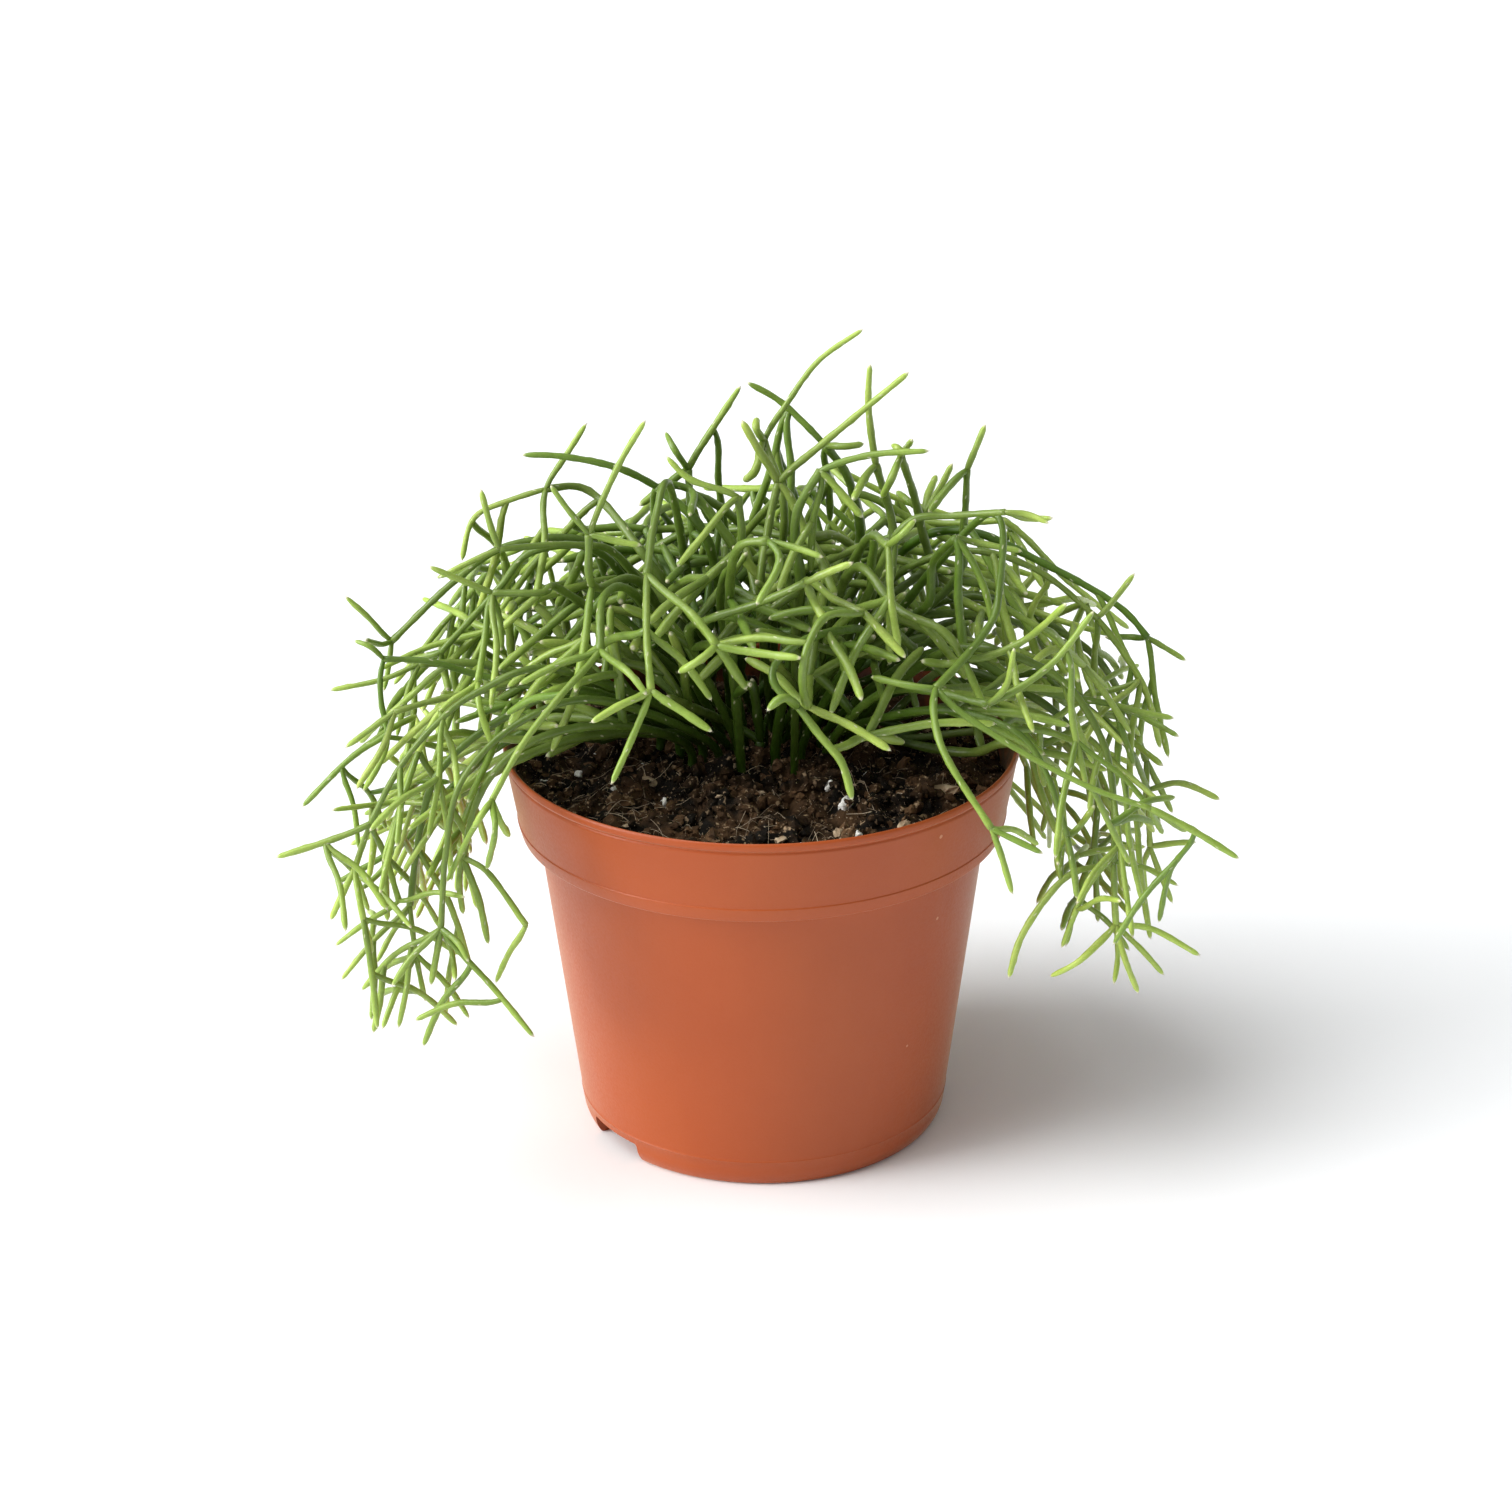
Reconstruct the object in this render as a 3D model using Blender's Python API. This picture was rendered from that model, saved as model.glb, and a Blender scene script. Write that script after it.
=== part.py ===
"""Potted rice cactus: a tapered plastic nursery pot, its peat, and the rooted sprays of slim green stems.

Lengths are in millimetres until a mesh is made. +Z is up, -Y is the side that the reference view shows,
and the origin is the middle of the pot's underside, on the surface that it stands on.
"""

import math
import random

import bmesh
import bpy
import numpy as np
from mathutils import Vector

MM = 0.001

# Pot: a standard 12 cm nursery pot
POT_HEIGHT = 95.0
RIM_RADIUS = 60.0
RIM_INNER_RADIUS = 58.8
BEAD_HEIGHT = 2.3
BEAD_GROOVE = 0.5
BEAD_SHOULDER = 0.6
RIM_ROUNDING = 0.5
COLLAR_TOP_RADIUS = 59.5
COLLAR_CREASE_RADIUS = 57.1
COLLAR_CREASE_HEIGHT = 78.2
COLLAR_LIP_RADIUS = 57.3
COLLAR_FOOT_HEIGHT = 74.4
BODY_TOP_RADIUS = 52.6
BODY_BOTTOM_RADIUS = 44.0
CORNER_HEIGHT = 8.0
FOOT_RADIUS = 42.0
FOOT_WIDTH = 2.4
FOOT_ROUNDING = (1.4, 2.6)
RECESS_SLOPES = (1.5, 0.9)
WALL = 1.0
BASE_PLATE = 1.2
BASE_RECESS = 5.2
CENTRE_PAD_RADIUS = 14.0
POT_SIDES = 40
NOTCH_ANGLES = (-55.0, 125.0)
NOTCH_WIDTH = 17.5
NOTCH_HEIGHT = 5.0
NOTCH_DEPTH = 5.2
DRAIN_HOLES = 6
DRAIN_RING_RADIUS = 27.0
DRAIN_RADIUS = 4.0
DRAIN_SIDES = 8
CUT_PAST = 2.0
BOX_FACES = [(0, 1, 3, 2), (4, 6, 7, 5), (0, 4, 5, 1), (2, 3, 7, 6), (0, 2, 6, 4), (1, 5, 7, 3)]

# Peat: it fills the pot to a little below the rim and is mounded in the middle
GAP = 0.3
WELD = 0.001
PEAT_EDGE_HEIGHT = 87.6
PEAT_MOUND = 4.0
PEAT_ROUGHNESS = 0.7
PEAT_RINGS = 3

# Stems
STEM_RADIUS = 1.12
THIN_STEM_RADIUS = 0.76
THINNING = (50.0, 88.0)
STEM_SIDES = 4
STEM_CORNERS = 1.15
STEM_ROOM = 3.01
STEM_REACH = 1.63
TIP_LENGTH = 3.2
LONG_SPAN = 15.0
SHORT_SPAN = 11.0
LONG_STEM = 33.0
ROOT_DEPTH = 8.0
ROOT_STRAIGHT = 9.0
ROOT_LEAVES = 12.0
ROOT_DISC_RADIUS = 25.5
ROOT_DISC_BACK = 12.0
ROOT_LEAN = 0.9
SPARE_ROOTS = 4
ROOT_TRIES = 6
ROOT_HOLE_RADIUS = 2.15
KNOT_LENGTH = 0.9
KEPT_SHARE = 0.58
TURN_TRIES = 8
GOLDEN_ANGLE = math.pi * (3 - math.sqrt(5))

# Reference view: where its eye is and how its 1512 pixel frame looks at the pot
EYE_DISTANCE = 800.0
EYE_HEIGHT = 436.3
EYE_ACROSS = -1.28
EYE_PITCH = math.radians(23.40)
EYE_ROLL = math.radians(-0.478)
EYE_FOCAL = 3745.0
FRAME_CENTRE = 756.0

# How a stem is bent clear of the others: small steps, with a fresh start now and then
TRIES = 600
FRESH_START = 75
FRESH_SHIFT = 7.0
SHIFT_STEP = 1.6
MIDDLE_STEP = 0.5
FORK_STEP = 0.4
BEND = 0.05
JOINT_SHARE = 0.6
TRESPASS_STEP = 2.0


def limb(*points, grows=()):
    """A stem through these places, each (across, down, depth): pixels of the reference view, and how many
    millimetres behind the pot's axis the place is, minus in front. The limbs in grows fork from its end."""
    return {"points": points, "grows": grows}


def star(*tips):
    """Single branchlets that fork together."""
    return tuple(limb(tip) for tip in tips)


# The sprays that the reference view shows, nearest first, so that those furthest back are bent the most
SPRAYS = {
    "front_star": limb((672, 492, -8), (655, 520, -22), (647, 574, -34), grows=(
        limb((645, 640, -46), (651, 690, -53), grows=star((592, 722, -60), (612, 783, -62),
            (711, 731, -58))),
        limb((690, 615, -43), (716, 645, -48), grows=star((800, 658, -53), (679, 672, -50))))),
    "front_left": limb((640, 600, -18), (604, 596, -34), (600, 650, -45), grows=(
        limb((560, 695, -54), (522, 745, -60), (492, 800, -64), grows=(
            limb((474, 827, -65)), limb((509, 836, -63)), limb((498, 832, -66), (487, 868, -67)))),
        limb((560, 664, -48), (520, 684, -50)),
        limb((628, 672, -54), (646, 694, -58)))),
    "front_loop": limb((800, 590, -20), (835, 600, -36), (864, 613, -42), grows=(
        limb((905, 657, -48)),
        limb((822, 626, -46), (805, 655, -49), (803, 690, -52), (808, 706, -53), grows=(
            limb((850, 722, -56), (890, 750, -60)),)))),
    "front_curl": limb((860, 640, -22), (845, 630, -32), (800, 642, -44), (772, 668, -48), (777, 689, -50),
                       (797, 706, -52), grows=(
        limb((822, 738, -56), (842, 762, -58), (852, 799, -60)),
        limb((783, 699, -54), (768, 710, -55)))),
    "front_right": limb((985, 560, -14), (1003, 592, -24), (975, 645, -38), (936, 688, -47), grows=(
        limb((905, 684, -46), (872, 677, -42)),
        limb((932, 712, -53), (945, 755, -61), (991, 828, -69), grows=star((1042, 853, -72),
            (1012, 893, -71))),
        limb((1004, 739, -54), (1089, 787, -60), (1150, 808, -62), grows=star((1238, 858, -64),
            (1186, 831, -59))))),
    "cross_right": limb((850, 575, -18), (905, 606, -32), (948, 630, -36), (964, 660, -39), grows=(
        limb((985, 708, -43)),
        limb((1012, 643, -42), (1066, 604, -44)),
        limb((922, 661, -36)))),
    "right_fan": limb((890, 690, -30), (988, 704, -46), grows=(
        limb((1006, 688, -48), (1014, 649, -50)),
        limb((1045, 666, -48), (1093, 612, -48)))),
    "left_crown": limb((575, 585, -12), (540, 592, -20), (493, 593, -26), grows=(
        limb((430, 567, -28)),
        limb((484, 640, -32), (478, 682, -36), grows=(
            limb((440, 712, -38), (402, 790, -40)),
            limb((491, 705, -39), (491, 744, -40)))),
        limb((501, 650, -30)))),
    "left_bar": limb((560, 690, -16), (474, 674, -22), (430, 664, -24), (384, 659, -26), grows=(
        limb((355, 641, -28)),
        limb((381, 695, -28), (388, 733, -29), grows=(
            limb((350, 756, -30), (303, 806, -31)),
            limb((384, 756, -30), (364, 790, -31)))))),
    "left_reach": limb((600, 545, 4), (520, 548, 2), (459, 585, 0), (392, 641, -2), grows=star(
        (346, 597, -3), (366, 640, -6), (384, 690, -7))),
    "left_light": limb((545, 680, -6), (480, 664, -10), (420, 664, -13), grows=(
        limb((383, 681, -15), (331, 690, -16)),
        limb((405, 700, -15), (397, 736, -16)))),
    "left_mid": limb((560, 690, -26), (478, 692, -32), (430, 700, -34), (395, 712, -36), grows=(
        limb((346, 747, -38)),
        limb((385, 745, -37), (357, 788, -38)))),
    "left_tail": limb((560, 670, -36), (478, 692, -43), (430, 730, -46), (395, 775, -47),
        (371, 823, -48), grows=(
        limb((277, 857, -50)),
        limb((355, 868, -49), grows=(
            limb((331, 919, -50)),
            limb((362, 915, -48), (372, 952, -48)))),
        limb((386, 852, -50), (399, 901, -50), grows=(
            limb((336, 945, -52)),)))),
    "left_fall_a": limb((580, 690, -30), (500, 720, -38), (440, 770, -42), (420, 830, -44),
        (410, 905, -45), grows=star(
        (342, 979, -48), (377, 962, -44), (425, 1000, -46))),
    "left_fall_b": limb((600, 700, -40), (520, 722, -50), (462, 780, -56), (446, 850, -57),
        (441, 928, -58), grows=(
        limb((431, 984, -58)),
        limb((455, 980, -56)),
        limb((468, 961, -61)),
        limb((495, 985, -63), (533, 1036, -67)))),
    "left_fall_c": limb((610, 725, -32), (530, 742, -43), (482, 790, -48), (463, 857, -49), grows=(
        limb((478, 895, -50), (488, 943, -50)),
        limb((487, 870, -52), (526, 925, -56), grows=star((496, 982, -56))),
        limb((463, 913, -46)))),
    "left_fall_d": limb((570, 720, -14), (500, 745, -20), (440, 800, -24), (400, 846, -26), grows=star(
        (336, 883, -28), (362, 889, -26))),
    "left_rim": limb((620, 742, -24), (515, 755, -34), (450, 802, -41), grows=(
        limb((390, 805, -43), (333, 810, -44)),
        limb((471, 843, -42)),
        limb((425, 840, -44), (404, 870, -45)))),
    "low_left": limb((640, 735, -4), (600, 740, -8), grows=(
        limb((560, 748, -10), (515, 751, -14), (480, 772, -18), (446, 815, -20)),
        limb((560, 733, -4), (505, 738, -5), (455, 772, -6)),
        limb((585, 716, -2), (530, 714, 0), (478, 738, 2)))),
    "low_right": limb((850, 738, -4), (895, 738, -6), grows=(
        limb((960, 733, -4), (1040, 727, -2), (1086, 762, 0)),
        limb((950, 715, 2), (1010, 706, 4), (1062, 722, 6)),
        limb((965, 750, -12), (1010, 742, -16), (1060, 770, -18)))),
    "low_fork": limb((760, 742, -4), grows=(
        limb((830, 735, -10), (878, 711, -14)),
        limb((712, 738, -8), (667, 697, -10)),
        limb((752, 679, -6)))),
    "top_sail": limb((790, 620, 4), (776, 510, 6), (764, 441, 8), grows=(
        limb((786, 400, 8), (818, 361, 8), (862, 330, 8)),
        limb((757, 419, 5)),
        limb((745, 480, 2)))),
    "top_lance": limb((760, 600, -8), (768, 530, -4), (778, 483, -2), grows=(
        limb((823, 441, -2), (908, 373, -4)),
        limb((742, 421, -3)))),
    "top_needle": limb((880, 610, -12), (888, 530, -8), (876, 465, -8), grows=(
        limb((867, 410, -8), (870, 365, -8)),
        limb((853, 500, -12)))),
    "top_step": limb((800, 600, -14), (795, 520, -16), (820, 471, -18), grows=(
        limb((870, 457, -20), (928, 451, -22)),
        limb((838, 490, -20), (862, 517, -22)))),
    "top_tuft": limb((940, 620, -12), (920, 520, -14), (901, 456, -14), grows=star(
        (892, 445, -14), (912, 440, -12), (882, 497, -16))),
    "top_mast": limb((950, 610, 2), (966, 530, 4), (967, 470, 4), grows=(
        limb((985, 425, 4)),
        limb((945, 490, 0), (929, 512, -2)))),
    "top_arc": limb((870, 580, -18), (905, 528, -24), (950, 520, -26), (1005, 512, -28), grows=(
        limb((1048, 523, -30)),
        limb((1052, 518, -24)))),
    "mid_bough": limb((690, 640, -20), (705, 621, -30), (757, 604, -36), (805, 583, -41), grows=star(
        (852, 563, -45), (826, 622, -44))),
    "mid_bridge": limb((730, 620, -20), (736, 550, -32), (768, 541, -37), grows=(
        limb((822, 557, -43)),
        limb((782, 560, -42), (757, 604, -46)))),
    "mid_post": limb((870, 570, -14), (888, 545, -24), grows=(
        limb((893, 600, -31), (899, 648, -35)),
        limb((915, 520, -28)))),
    "mid_right": limb((900, 640, -12), (928, 606, -24), (936, 570, -28), (956, 538, -30), grows=(
        limb((985, 585, -33), (993, 625, -35)),
        limb((975, 538, -30), (1021, 551, -30)))),
    "mid_drop": limb((720, 600, -10), (741, 545, -18), (738, 497, -20), grows=(
        limb((705, 535, -26), (678, 566, -29)),
        limb((690, 478, -18), (667, 457, -17)))),
    "spear": limb((655, 610, -14), (596, 590, -26), (589, 535, -28), grows=(
        limb((622, 468, -24), (645, 421, -22)),
        limb((551, 486, -29)),
        limb((640, 545, -30)))),
    "high_arc": limb((690, 560, 2), (657, 487, 0), grows=(
        limb((617, 467, -4), (560, 456, -7), (523, 455, -8)),
        limb((690, 515, -8)))),
    "high_hook": limb((650, 560, 12), (600, 498, 12), (546, 489, 12), grows=(
        limb((505, 501, 12), (473, 518, 12), (462, 560, 10)),
        limb((586, 424, 14)))),
    "high_bar": limb((640, 575, -10), (580, 548, -16), (500, 549, -18), grows=(
        limb((440, 577, -20)),
        limb((481, 490, -16)))),
    "high_drop": limb((600, 560, -4), (530, 552, -6), (500, 590, -8), (441, 652, -10), grows=star(
        (405, 662, -11), (448, 690, -12))),
    "far_left": limb((700, 580, 22), (688, 470, 24), grows=star((740, 387, 26), (666, 433, 24),
        (640, 505, 20))),
    "far_cross": limb((870, 590, 16), (850, 490, 20), (826, 446, 22), grows=(
        limb((782, 402, 24), (748, 383, 24)),
        limb((863, 444, 20)))),
    "far_pin": limb((900, 600, 6), (924, 515, 8), grows=star((952, 464, 8), (936, 476, 12),
        (897, 492, 12))),
    "right_arc_a": limb((900, 590, 14), (960, 538, 10), (1048, 560, 4), (1117, 598, 0),
        (1147, 637, -2), grows=star(
        (1185, 660, -3), (1106, 637, 0))),
    "right_arc_b": limb((900, 600, 2), (960, 546, -4), (1035, 562, -8), (1097, 618, -12), grows=(
        limb((1134, 574, -10)),
        limb((1140, 685, -15), (1160, 747, -17)))),
    "right_mid": limb((930, 680, -14), (1030, 690, -20), (1112, 704, -24), grows=star(
        (1173, 718, -25), (1178, 736, -23), (1134, 765, -26))),
    "right_fall_a": limb((950, 650, -26), (1050, 672, -34), (1100, 735, -38), (1114, 800, -40),
        (1114, 861, -41),
                         grows=(
        limb((1145, 866, -42), (1177, 885, -43)),
        limb((1068, 876, -43), (1024, 931, -46), (1009, 977, -48)),
        limb((1116, 924, -42), grows=(
            limb((1150, 927, -43), (1199, 955, -45)),
            *star((1163, 974, -42), (1138, 992, -45), (1114, 983, -44), (1073, 967, -42),
                (1051, 976, -45)))))),
    "right_fall_b": limb((950, 670, -8), (1060, 668, -12), (1125, 725, -14), (1148, 790, -16), grows=(
        limb((1180, 783, -17), (1219, 799, -18)),
        limb((1150, 846, -17), grows=star((1195, 842, -18), (1172, 902, -18), (1146, 892, -16))))),
    "right_fall_c": limb((930, 710, -30), (1010, 728, -42), (1044, 768, -46), (1067, 836, -48), grows=star(
        (1077, 898, -49), (1058, 864, -46), (1094, 806, -47))),
    "right_fall_d": limb((940, 700, 4), (1040, 700, 2), (1088, 770, 0), (1094, 850, -1), grows=star(
        (1098, 921, -2), (1075, 846, 2), (1130, 890, 3))),
    "right_edge": limb((960, 640, 10), (1080, 640, 8), (1120, 690, 6), (1146, 760, 4), grows=star(
        (1172, 812, 4), (1140, 827, 2))),
    "right_back": limb((960, 620, 24), (1040, 640, 28), (1060, 740, 30), grows=star((1042, 832, 30),
        (1090, 700, 32))),
}

# The sprays at the back, which the reference view hides: the same habit, each to its own bearing
BACK_BEARINGS = (28, 50, 78, 104, 130, 158)
BACK_REACH = (62, 80)
BACK_CREST = (118, 136)
BACK_DROP = (20, 78)
BACK_ARCH = (0.28, 0.58)
BACK_ARCH_RISE = 22
BACK_SHOOT = (0.7, 0.8)
BACK_SHOOT_SWING = 24
BACK_SHOOT_RISE = (-4, 6)
BACK_SWING = 8
BACK_TIP_LENGTH = (24, 38)
BACK_LOW_TIPS = (4, 40, (5, 75))
BACK_HIGH_TIPS = (2, 60, (-5, 35))
BACK_OUTLINE = (97.0, 68.0)

# Side shoots fill the dome that the sprays make and the curtains that hang at its two sides
SIDE_ROUNDS = 1
SIDE_LENGTH = (17, 32)
SIDE_TRIES = 60
SIDE_LEANINGS = (0.65, 0.95, 0.2, 0.08)
LONG_HOST = 22
ROOTED_PLACES = 5
PEAT_PLACES = 3
DOME = (96.0, 88.0, 58.0)
DOME_FOOT = 86.0
CURTAIN_ACROSS = (64.0, 92.0)
CURTAIN_DEPTH = (-62.0, 30.0)
CURTAIN_HEIGHT = (44.0, 100.0)
BARE_PEAT_ACROSS = 60.0
BARE_PEAT_LEVEL = 97.0
BARE_PEAT_DIP = (15.0, 40.0, 8.0)


def eye():
    return np.array((EYE_ACROSS, -EYE_DISTANCE, EYE_HEIGHT))


def sighted(across, down, depth):
    """The place seen at this pixel, depth millimetres behind the pot's axis."""
    right, below = across - FRAME_CENTRE, down - FRAME_CENTRE
    level_right = right * math.cos(EYE_ROLL) + below * math.sin(EYE_ROLL)
    level_below = below * math.cos(EYE_ROLL) - right * math.sin(EYE_ROLL)
    sine, cosine = math.sin(EYE_PITCH), math.cos(EYE_PITCH)
    ray = np.array((
        level_right / EYE_FOCAL,
        cosine - level_below / EYE_FOCAL * sine,
        -sine - level_below / EYE_FOCAL * cosine,
    ))
    return eye() + ray * (depth + EYE_DISTANCE) / ray[1]


def along_sight(place, shift):
    """The place moved this much further from the eye, so that it looks the same from there."""
    return eye() + (place - eye()) * (place[1] + shift + EYE_DISTANCE) / (place[1] + EYE_DISTANCE)


def peat_height(x, y):
    """Height of the peat's uneven surface."""
    near = np.maximum(0.0, 1 - (x * x + y * y) / RIM_INNER_RADIUS**2)
    waves = np.sin(x * 0.21 + 1.1) * np.cos(y * 0.17 - 0.4) + 0.6 * np.sin(x * 0.08 - y * 0.33)
    return PEAT_EDGE_HEIGHT + PEAT_MOUND * near + PEAT_ROUGHNESS * waves * near


def unit(vector):
    return vector / math.sqrt(float(vector @ vector))


def length_of(line):
    return float(np.linalg.norm(np.diff(line, axis=0), axis=1).sum())


def curve_through(before, places, steps=8):
    """Fine points on a Catmull-Rom curve through the places. It would have come from before."""
    known = [before, *places, places[-1] * 1.5 - places[-2] * 0.5]
    t = (np.arange(1, steps + 1) / steps)[:, None]
    pieces = [places[0][None]]
    for a, b, c, d in zip(known, known[1:], known[2:], known[3:]):
        bend = (2 * a - 5 * b + 4 * c - d) * t**2 + (3 * b - a - 3 * c + d) * t**3
        pieces.append(0.5 * (2 * b + (c - a) * t + bend))
    return np.concatenate(pieces)


def evenly(fine, spans):
    """The same curve as a number of spans of equal length."""
    lengths = np.linalg.norm(np.diff(fine, axis=0), axis=1)
    run = np.concatenate([[0.0], np.cumsum(lengths)])
    stops = np.linspace(0.0, run[-1], spans + 1)
    return np.stack([np.interp(stops, run, fine[:, axis]) for axis in range(3)], axis=1)


def span_gaps(line, starts, ends):
    """The least distance of each span of the line from each of these spans."""
    first, along = line[:-1, None, :], np.diff(line, axis=0)[:, None, :]
    other, across = starts[None], (ends - starts)[None]
    between = first - other
    a, e, b = (along * along).sum(-1), (across * across).sum(-1), (along * across).sum(-1)
    c, f = (along * between).sum(-1), (across * between).sum(-1)
    s = np.clip((b * f - c * e) / np.maximum(a * e - b * b, 1e-9), 0, 1)
    t = np.clip((b * s + f) / np.maximum(e, 1e-9), 0, 1)
    s = np.clip((b * t - c) / np.maximum(a, 1e-9), 0, 1)
    apart = between + s[..., None] * along - t[..., None] * across
    return np.sqrt((apart * apart).sum(-1))


class Thicket:
    """The stems that are already placed, so that the next one is bent clear of them."""

    def __init__(self):
        self.starts = np.empty((0, 3))
        self.ends = np.empty((0, 3))
        self.owners = np.empty(0, int)

    def add(self, line, owner):
        self.starts = np.concatenate([self.starts, line[:-1]])
        self.ends = np.concatenate([self.ends, line[1:]])
        self.owners = np.concatenate([self.owners, np.full(len(line) - 1, owner)])

    def crowding(self, line, owner):
        """How much the line lacks of its room from other sprays, and past its joint from its own."""
        needed = STEM_ROOM
        middle, reach = (line.min(0) + line.max(0)) / 2, (line.max(0) - line.min(0)) / 2 + needed
        low, high = np.minimum(self.starts, self.ends), np.maximum(self.starts, self.ends)
        near = ((low < middle + reach) & (high > middle - reach)).all(axis=1)
        past_joint = np.concatenate([[line[0] + (line[1] - line[0]) * JOINT_SHARE], line[1:]])
        lacks = []
        for mask, part in ((self.owners != owner, line), (self.owners == owner, past_joint)):
            mask = mask & near
            gaps = span_gaps(part, self.starts[mask], self.ends[mask]) if mask.any() else np.array([needed])
            lacks.append(float(np.maximum(needed - gaps, 0).sum()))
        return lacks


def trespass(line, rooted):
    """How far in all a line reaches into the pot, the peat or what the pot stands on."""
    fine = evenly(line, max(4, int(length_of(line) / TRESPASS_STEP)))
    if rooted:
        fine = fine[int(ROOT_DEPTH / TRESPASS_STEP) + 2:]
    reach = STEM_REACH
    x, y, z = fine.T
    radius = np.hypot(x, y)
    over_rim = POT_HEIGHT + reach - z
    outside = RIM_RADIUS + reach - radius
    inside = np.maximum(radius - (COLLAR_CREASE_RADIUS - WALL - reach), peat_height(x, y) + reach - z)
    depth = np.minimum(np.minimum(over_rim, outside), inside)
    return float(np.maximum(depth, 0).sum() + np.maximum(reach - z, 0).sum())


def stem_radius(place):
    """Stems are thickest over the pot's middle and slimmest at the plant's outer reach."""
    outward = length_of(np.array([(0.0, 0.0, POT_HEIGHT), place]))
    share = min(1.0, max(0.0, (outward - THINNING[0]) / (THINNING[1] - THINNING[0])))
    return STEM_RADIUS + (THIN_STEM_RADIUS - STEM_RADIUS) * share


def spans_for(length):
    return max(2, round(length / (LONG_SPAN if length > LONG_STEM else SHORT_SPAN)))


def bent_line(start, heading, places, rooted):
    """The fine curve from start through the places, and the plain line of long spans that lies along it."""
    if rooted:
        places = [start + (0, 0, ROOT_LEAVES), *places]
    places = [start, *places]
    before = start - unit(heading + unit(places[1] - start)) * length_of(np.array(places[:2]))
    fine = curve_through(before, places)
    line = evenly(fine, spans_for(length_of(fine)))
    if rooted:
        line = np.concatenate([[start, start + (0, 0, ROOT_STRAIGHT)], line[1:]])
    return fine, line


def place_limb(thicket, owner, places, start, heading, shift, rng, rooted=False):
    """The limb's fine curve and plain line, bent clear of what is there, and its end's shift."""
    wanted = [along_sight(place, shift) for place in places]
    if len(wanted) == 1:
        wanted.insert(0, start + (wanted[0] - start) / 2)
    shifts, strays = np.zeros(len(wanted)), np.zeros((len(wanted), 3))
    if not rooted:
        strays[0] = [rng.uniform(-BEND, BEND) * length_of(np.array([start, wanted[0]])) for _ in range(3)]
    straight, least = (shifts, strays), None
    for attempt in range(TRIES):
        new_shifts, new_strays = shifts.copy(), strays.copy()
        if attempt and attempt % FRESH_START == 0:
            least, new_strays = None, straight[1].copy()
            new_shifts = straight[0] + rng.gauss(0, FRESH_SHIFT)
            new_shifts += [rng.gauss(0, FRESH_SHIFT / 2) for _ in wanted]
        elif attempt:
            new_shifts += [rng.gauss(0, SHIFT_STEP) for _ in wanted]
            new_strays[0] += [rng.gauss(0, SHIFT_STEP if rooted else FORK_STEP) for _ in range(3)]
            for middle in range(1, len(wanted) - 1 if rooted else 1):
                new_strays[middle] += [rng.gauss(0, MIDDLE_STEP) for _ in range(3)]
        moved = [along_sight(place, more) for place, more in zip(wanted, new_shifts)]
        fine, line = bent_line(start, heading, list(np.array(moved) + new_strays), rooted)
        others, own = thicket.crowding(line, owner)
        others += trespass(line, rooted)
        if others == 0 and (own == 0 or attempt > TRIES / 2):
            thicket.add(line, owner)
            return fine, line, shift + float(new_shifts[-1])
        if least is None or others + own / 3 < least:
            least, shifts, strays = others + own / 3, new_shifts, new_strays
    return None


def with_places(plan):
    """The same limb with its places in space."""
    return {
        "places": [sighted(*point) for point in plan["points"]],
        "grows": [with_places(child) for child in plan["grows"]],
    }


def drooped(place):
    """The place let down as far as the plant's rounded outline in the reference view."""
    x, y, z = place
    across, height = BACK_OUTLINE
    crown = POT_HEIGHT + height * math.sqrt(max(0.0, 1 - (x / across)**2))
    return np.array((x, y, min(z, crown - y * math.tan(EYE_PITCH))))


def back_plan(bearing, rng):
    """A spray at the back: up, over the rim and down at this bearing to a fork of branchlets, with two
    shoots that stay high on either side."""
    turned_to = math.radians(bearing)
    reach, crest = rng.uniform(*BACK_REACH), rng.uniform(*BACK_CREST)

    def at(radius, height, swing=0.0):
        angle = turned_to + math.radians(swing)
        return np.array((radius * math.cos(angle), radius * math.sin(angle), height))

    def tips_from(fork, count, spread, dips):
        tips = []
        for number in range(count):
            swing = (number - (count - 1) / 2) * spread + rng.uniform(-BACK_SWING, BACK_SWING)
            length = rng.uniform(*BACK_TIP_LENGTH)
            dip = math.radians(rng.uniform(*dips))
            tip = fork + at(1, 0, swing) * length * math.cos(dip) - (0, 0, length * math.sin(dip))
            tips.append({"places": [drooped(tip)], "grows": []})
        return tips

    low = at(reach, crest - rng.uniform(*BACK_DROP), rng.uniform(-BACK_SWING, BACK_SWING))
    grows = [{"places": [low], "grows": tips_from(low, *BACK_LOW_TIPS)}]
    for side in (1, -1):
        middle = at(reach * BACK_SHOOT[0], crest, side * BACK_SHOOT_SWING / 2)
        high = at(reach * BACK_SHOOT[1], crest + rng.uniform(*BACK_SHOOT_RISE), side * BACK_SHOOT_SWING)
        grows.append({"places": [middle, high], "grows": tips_from(high, *BACK_HIGH_TIPS)})
    first, over = BACK_ARCH
    return {"places": [at(reach * first, crest - BACK_ARCH_RISE), at(reach * over, crest)], "grows": grows}


def root_places(count):
    """Where stems root: an even spiral over the peat's middle, a little towards the back."""
    places = []
    for number in range(count):
        radius = ROOT_DISC_RADIUS * math.sqrt((number + 0.5) / count)
        angle = number * GOLDEN_ANGLE
        places.append(np.array((radius * math.cos(angle), radius * math.sin(angle) + ROOT_DISC_BACK, 0.0)))
    return places


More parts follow.
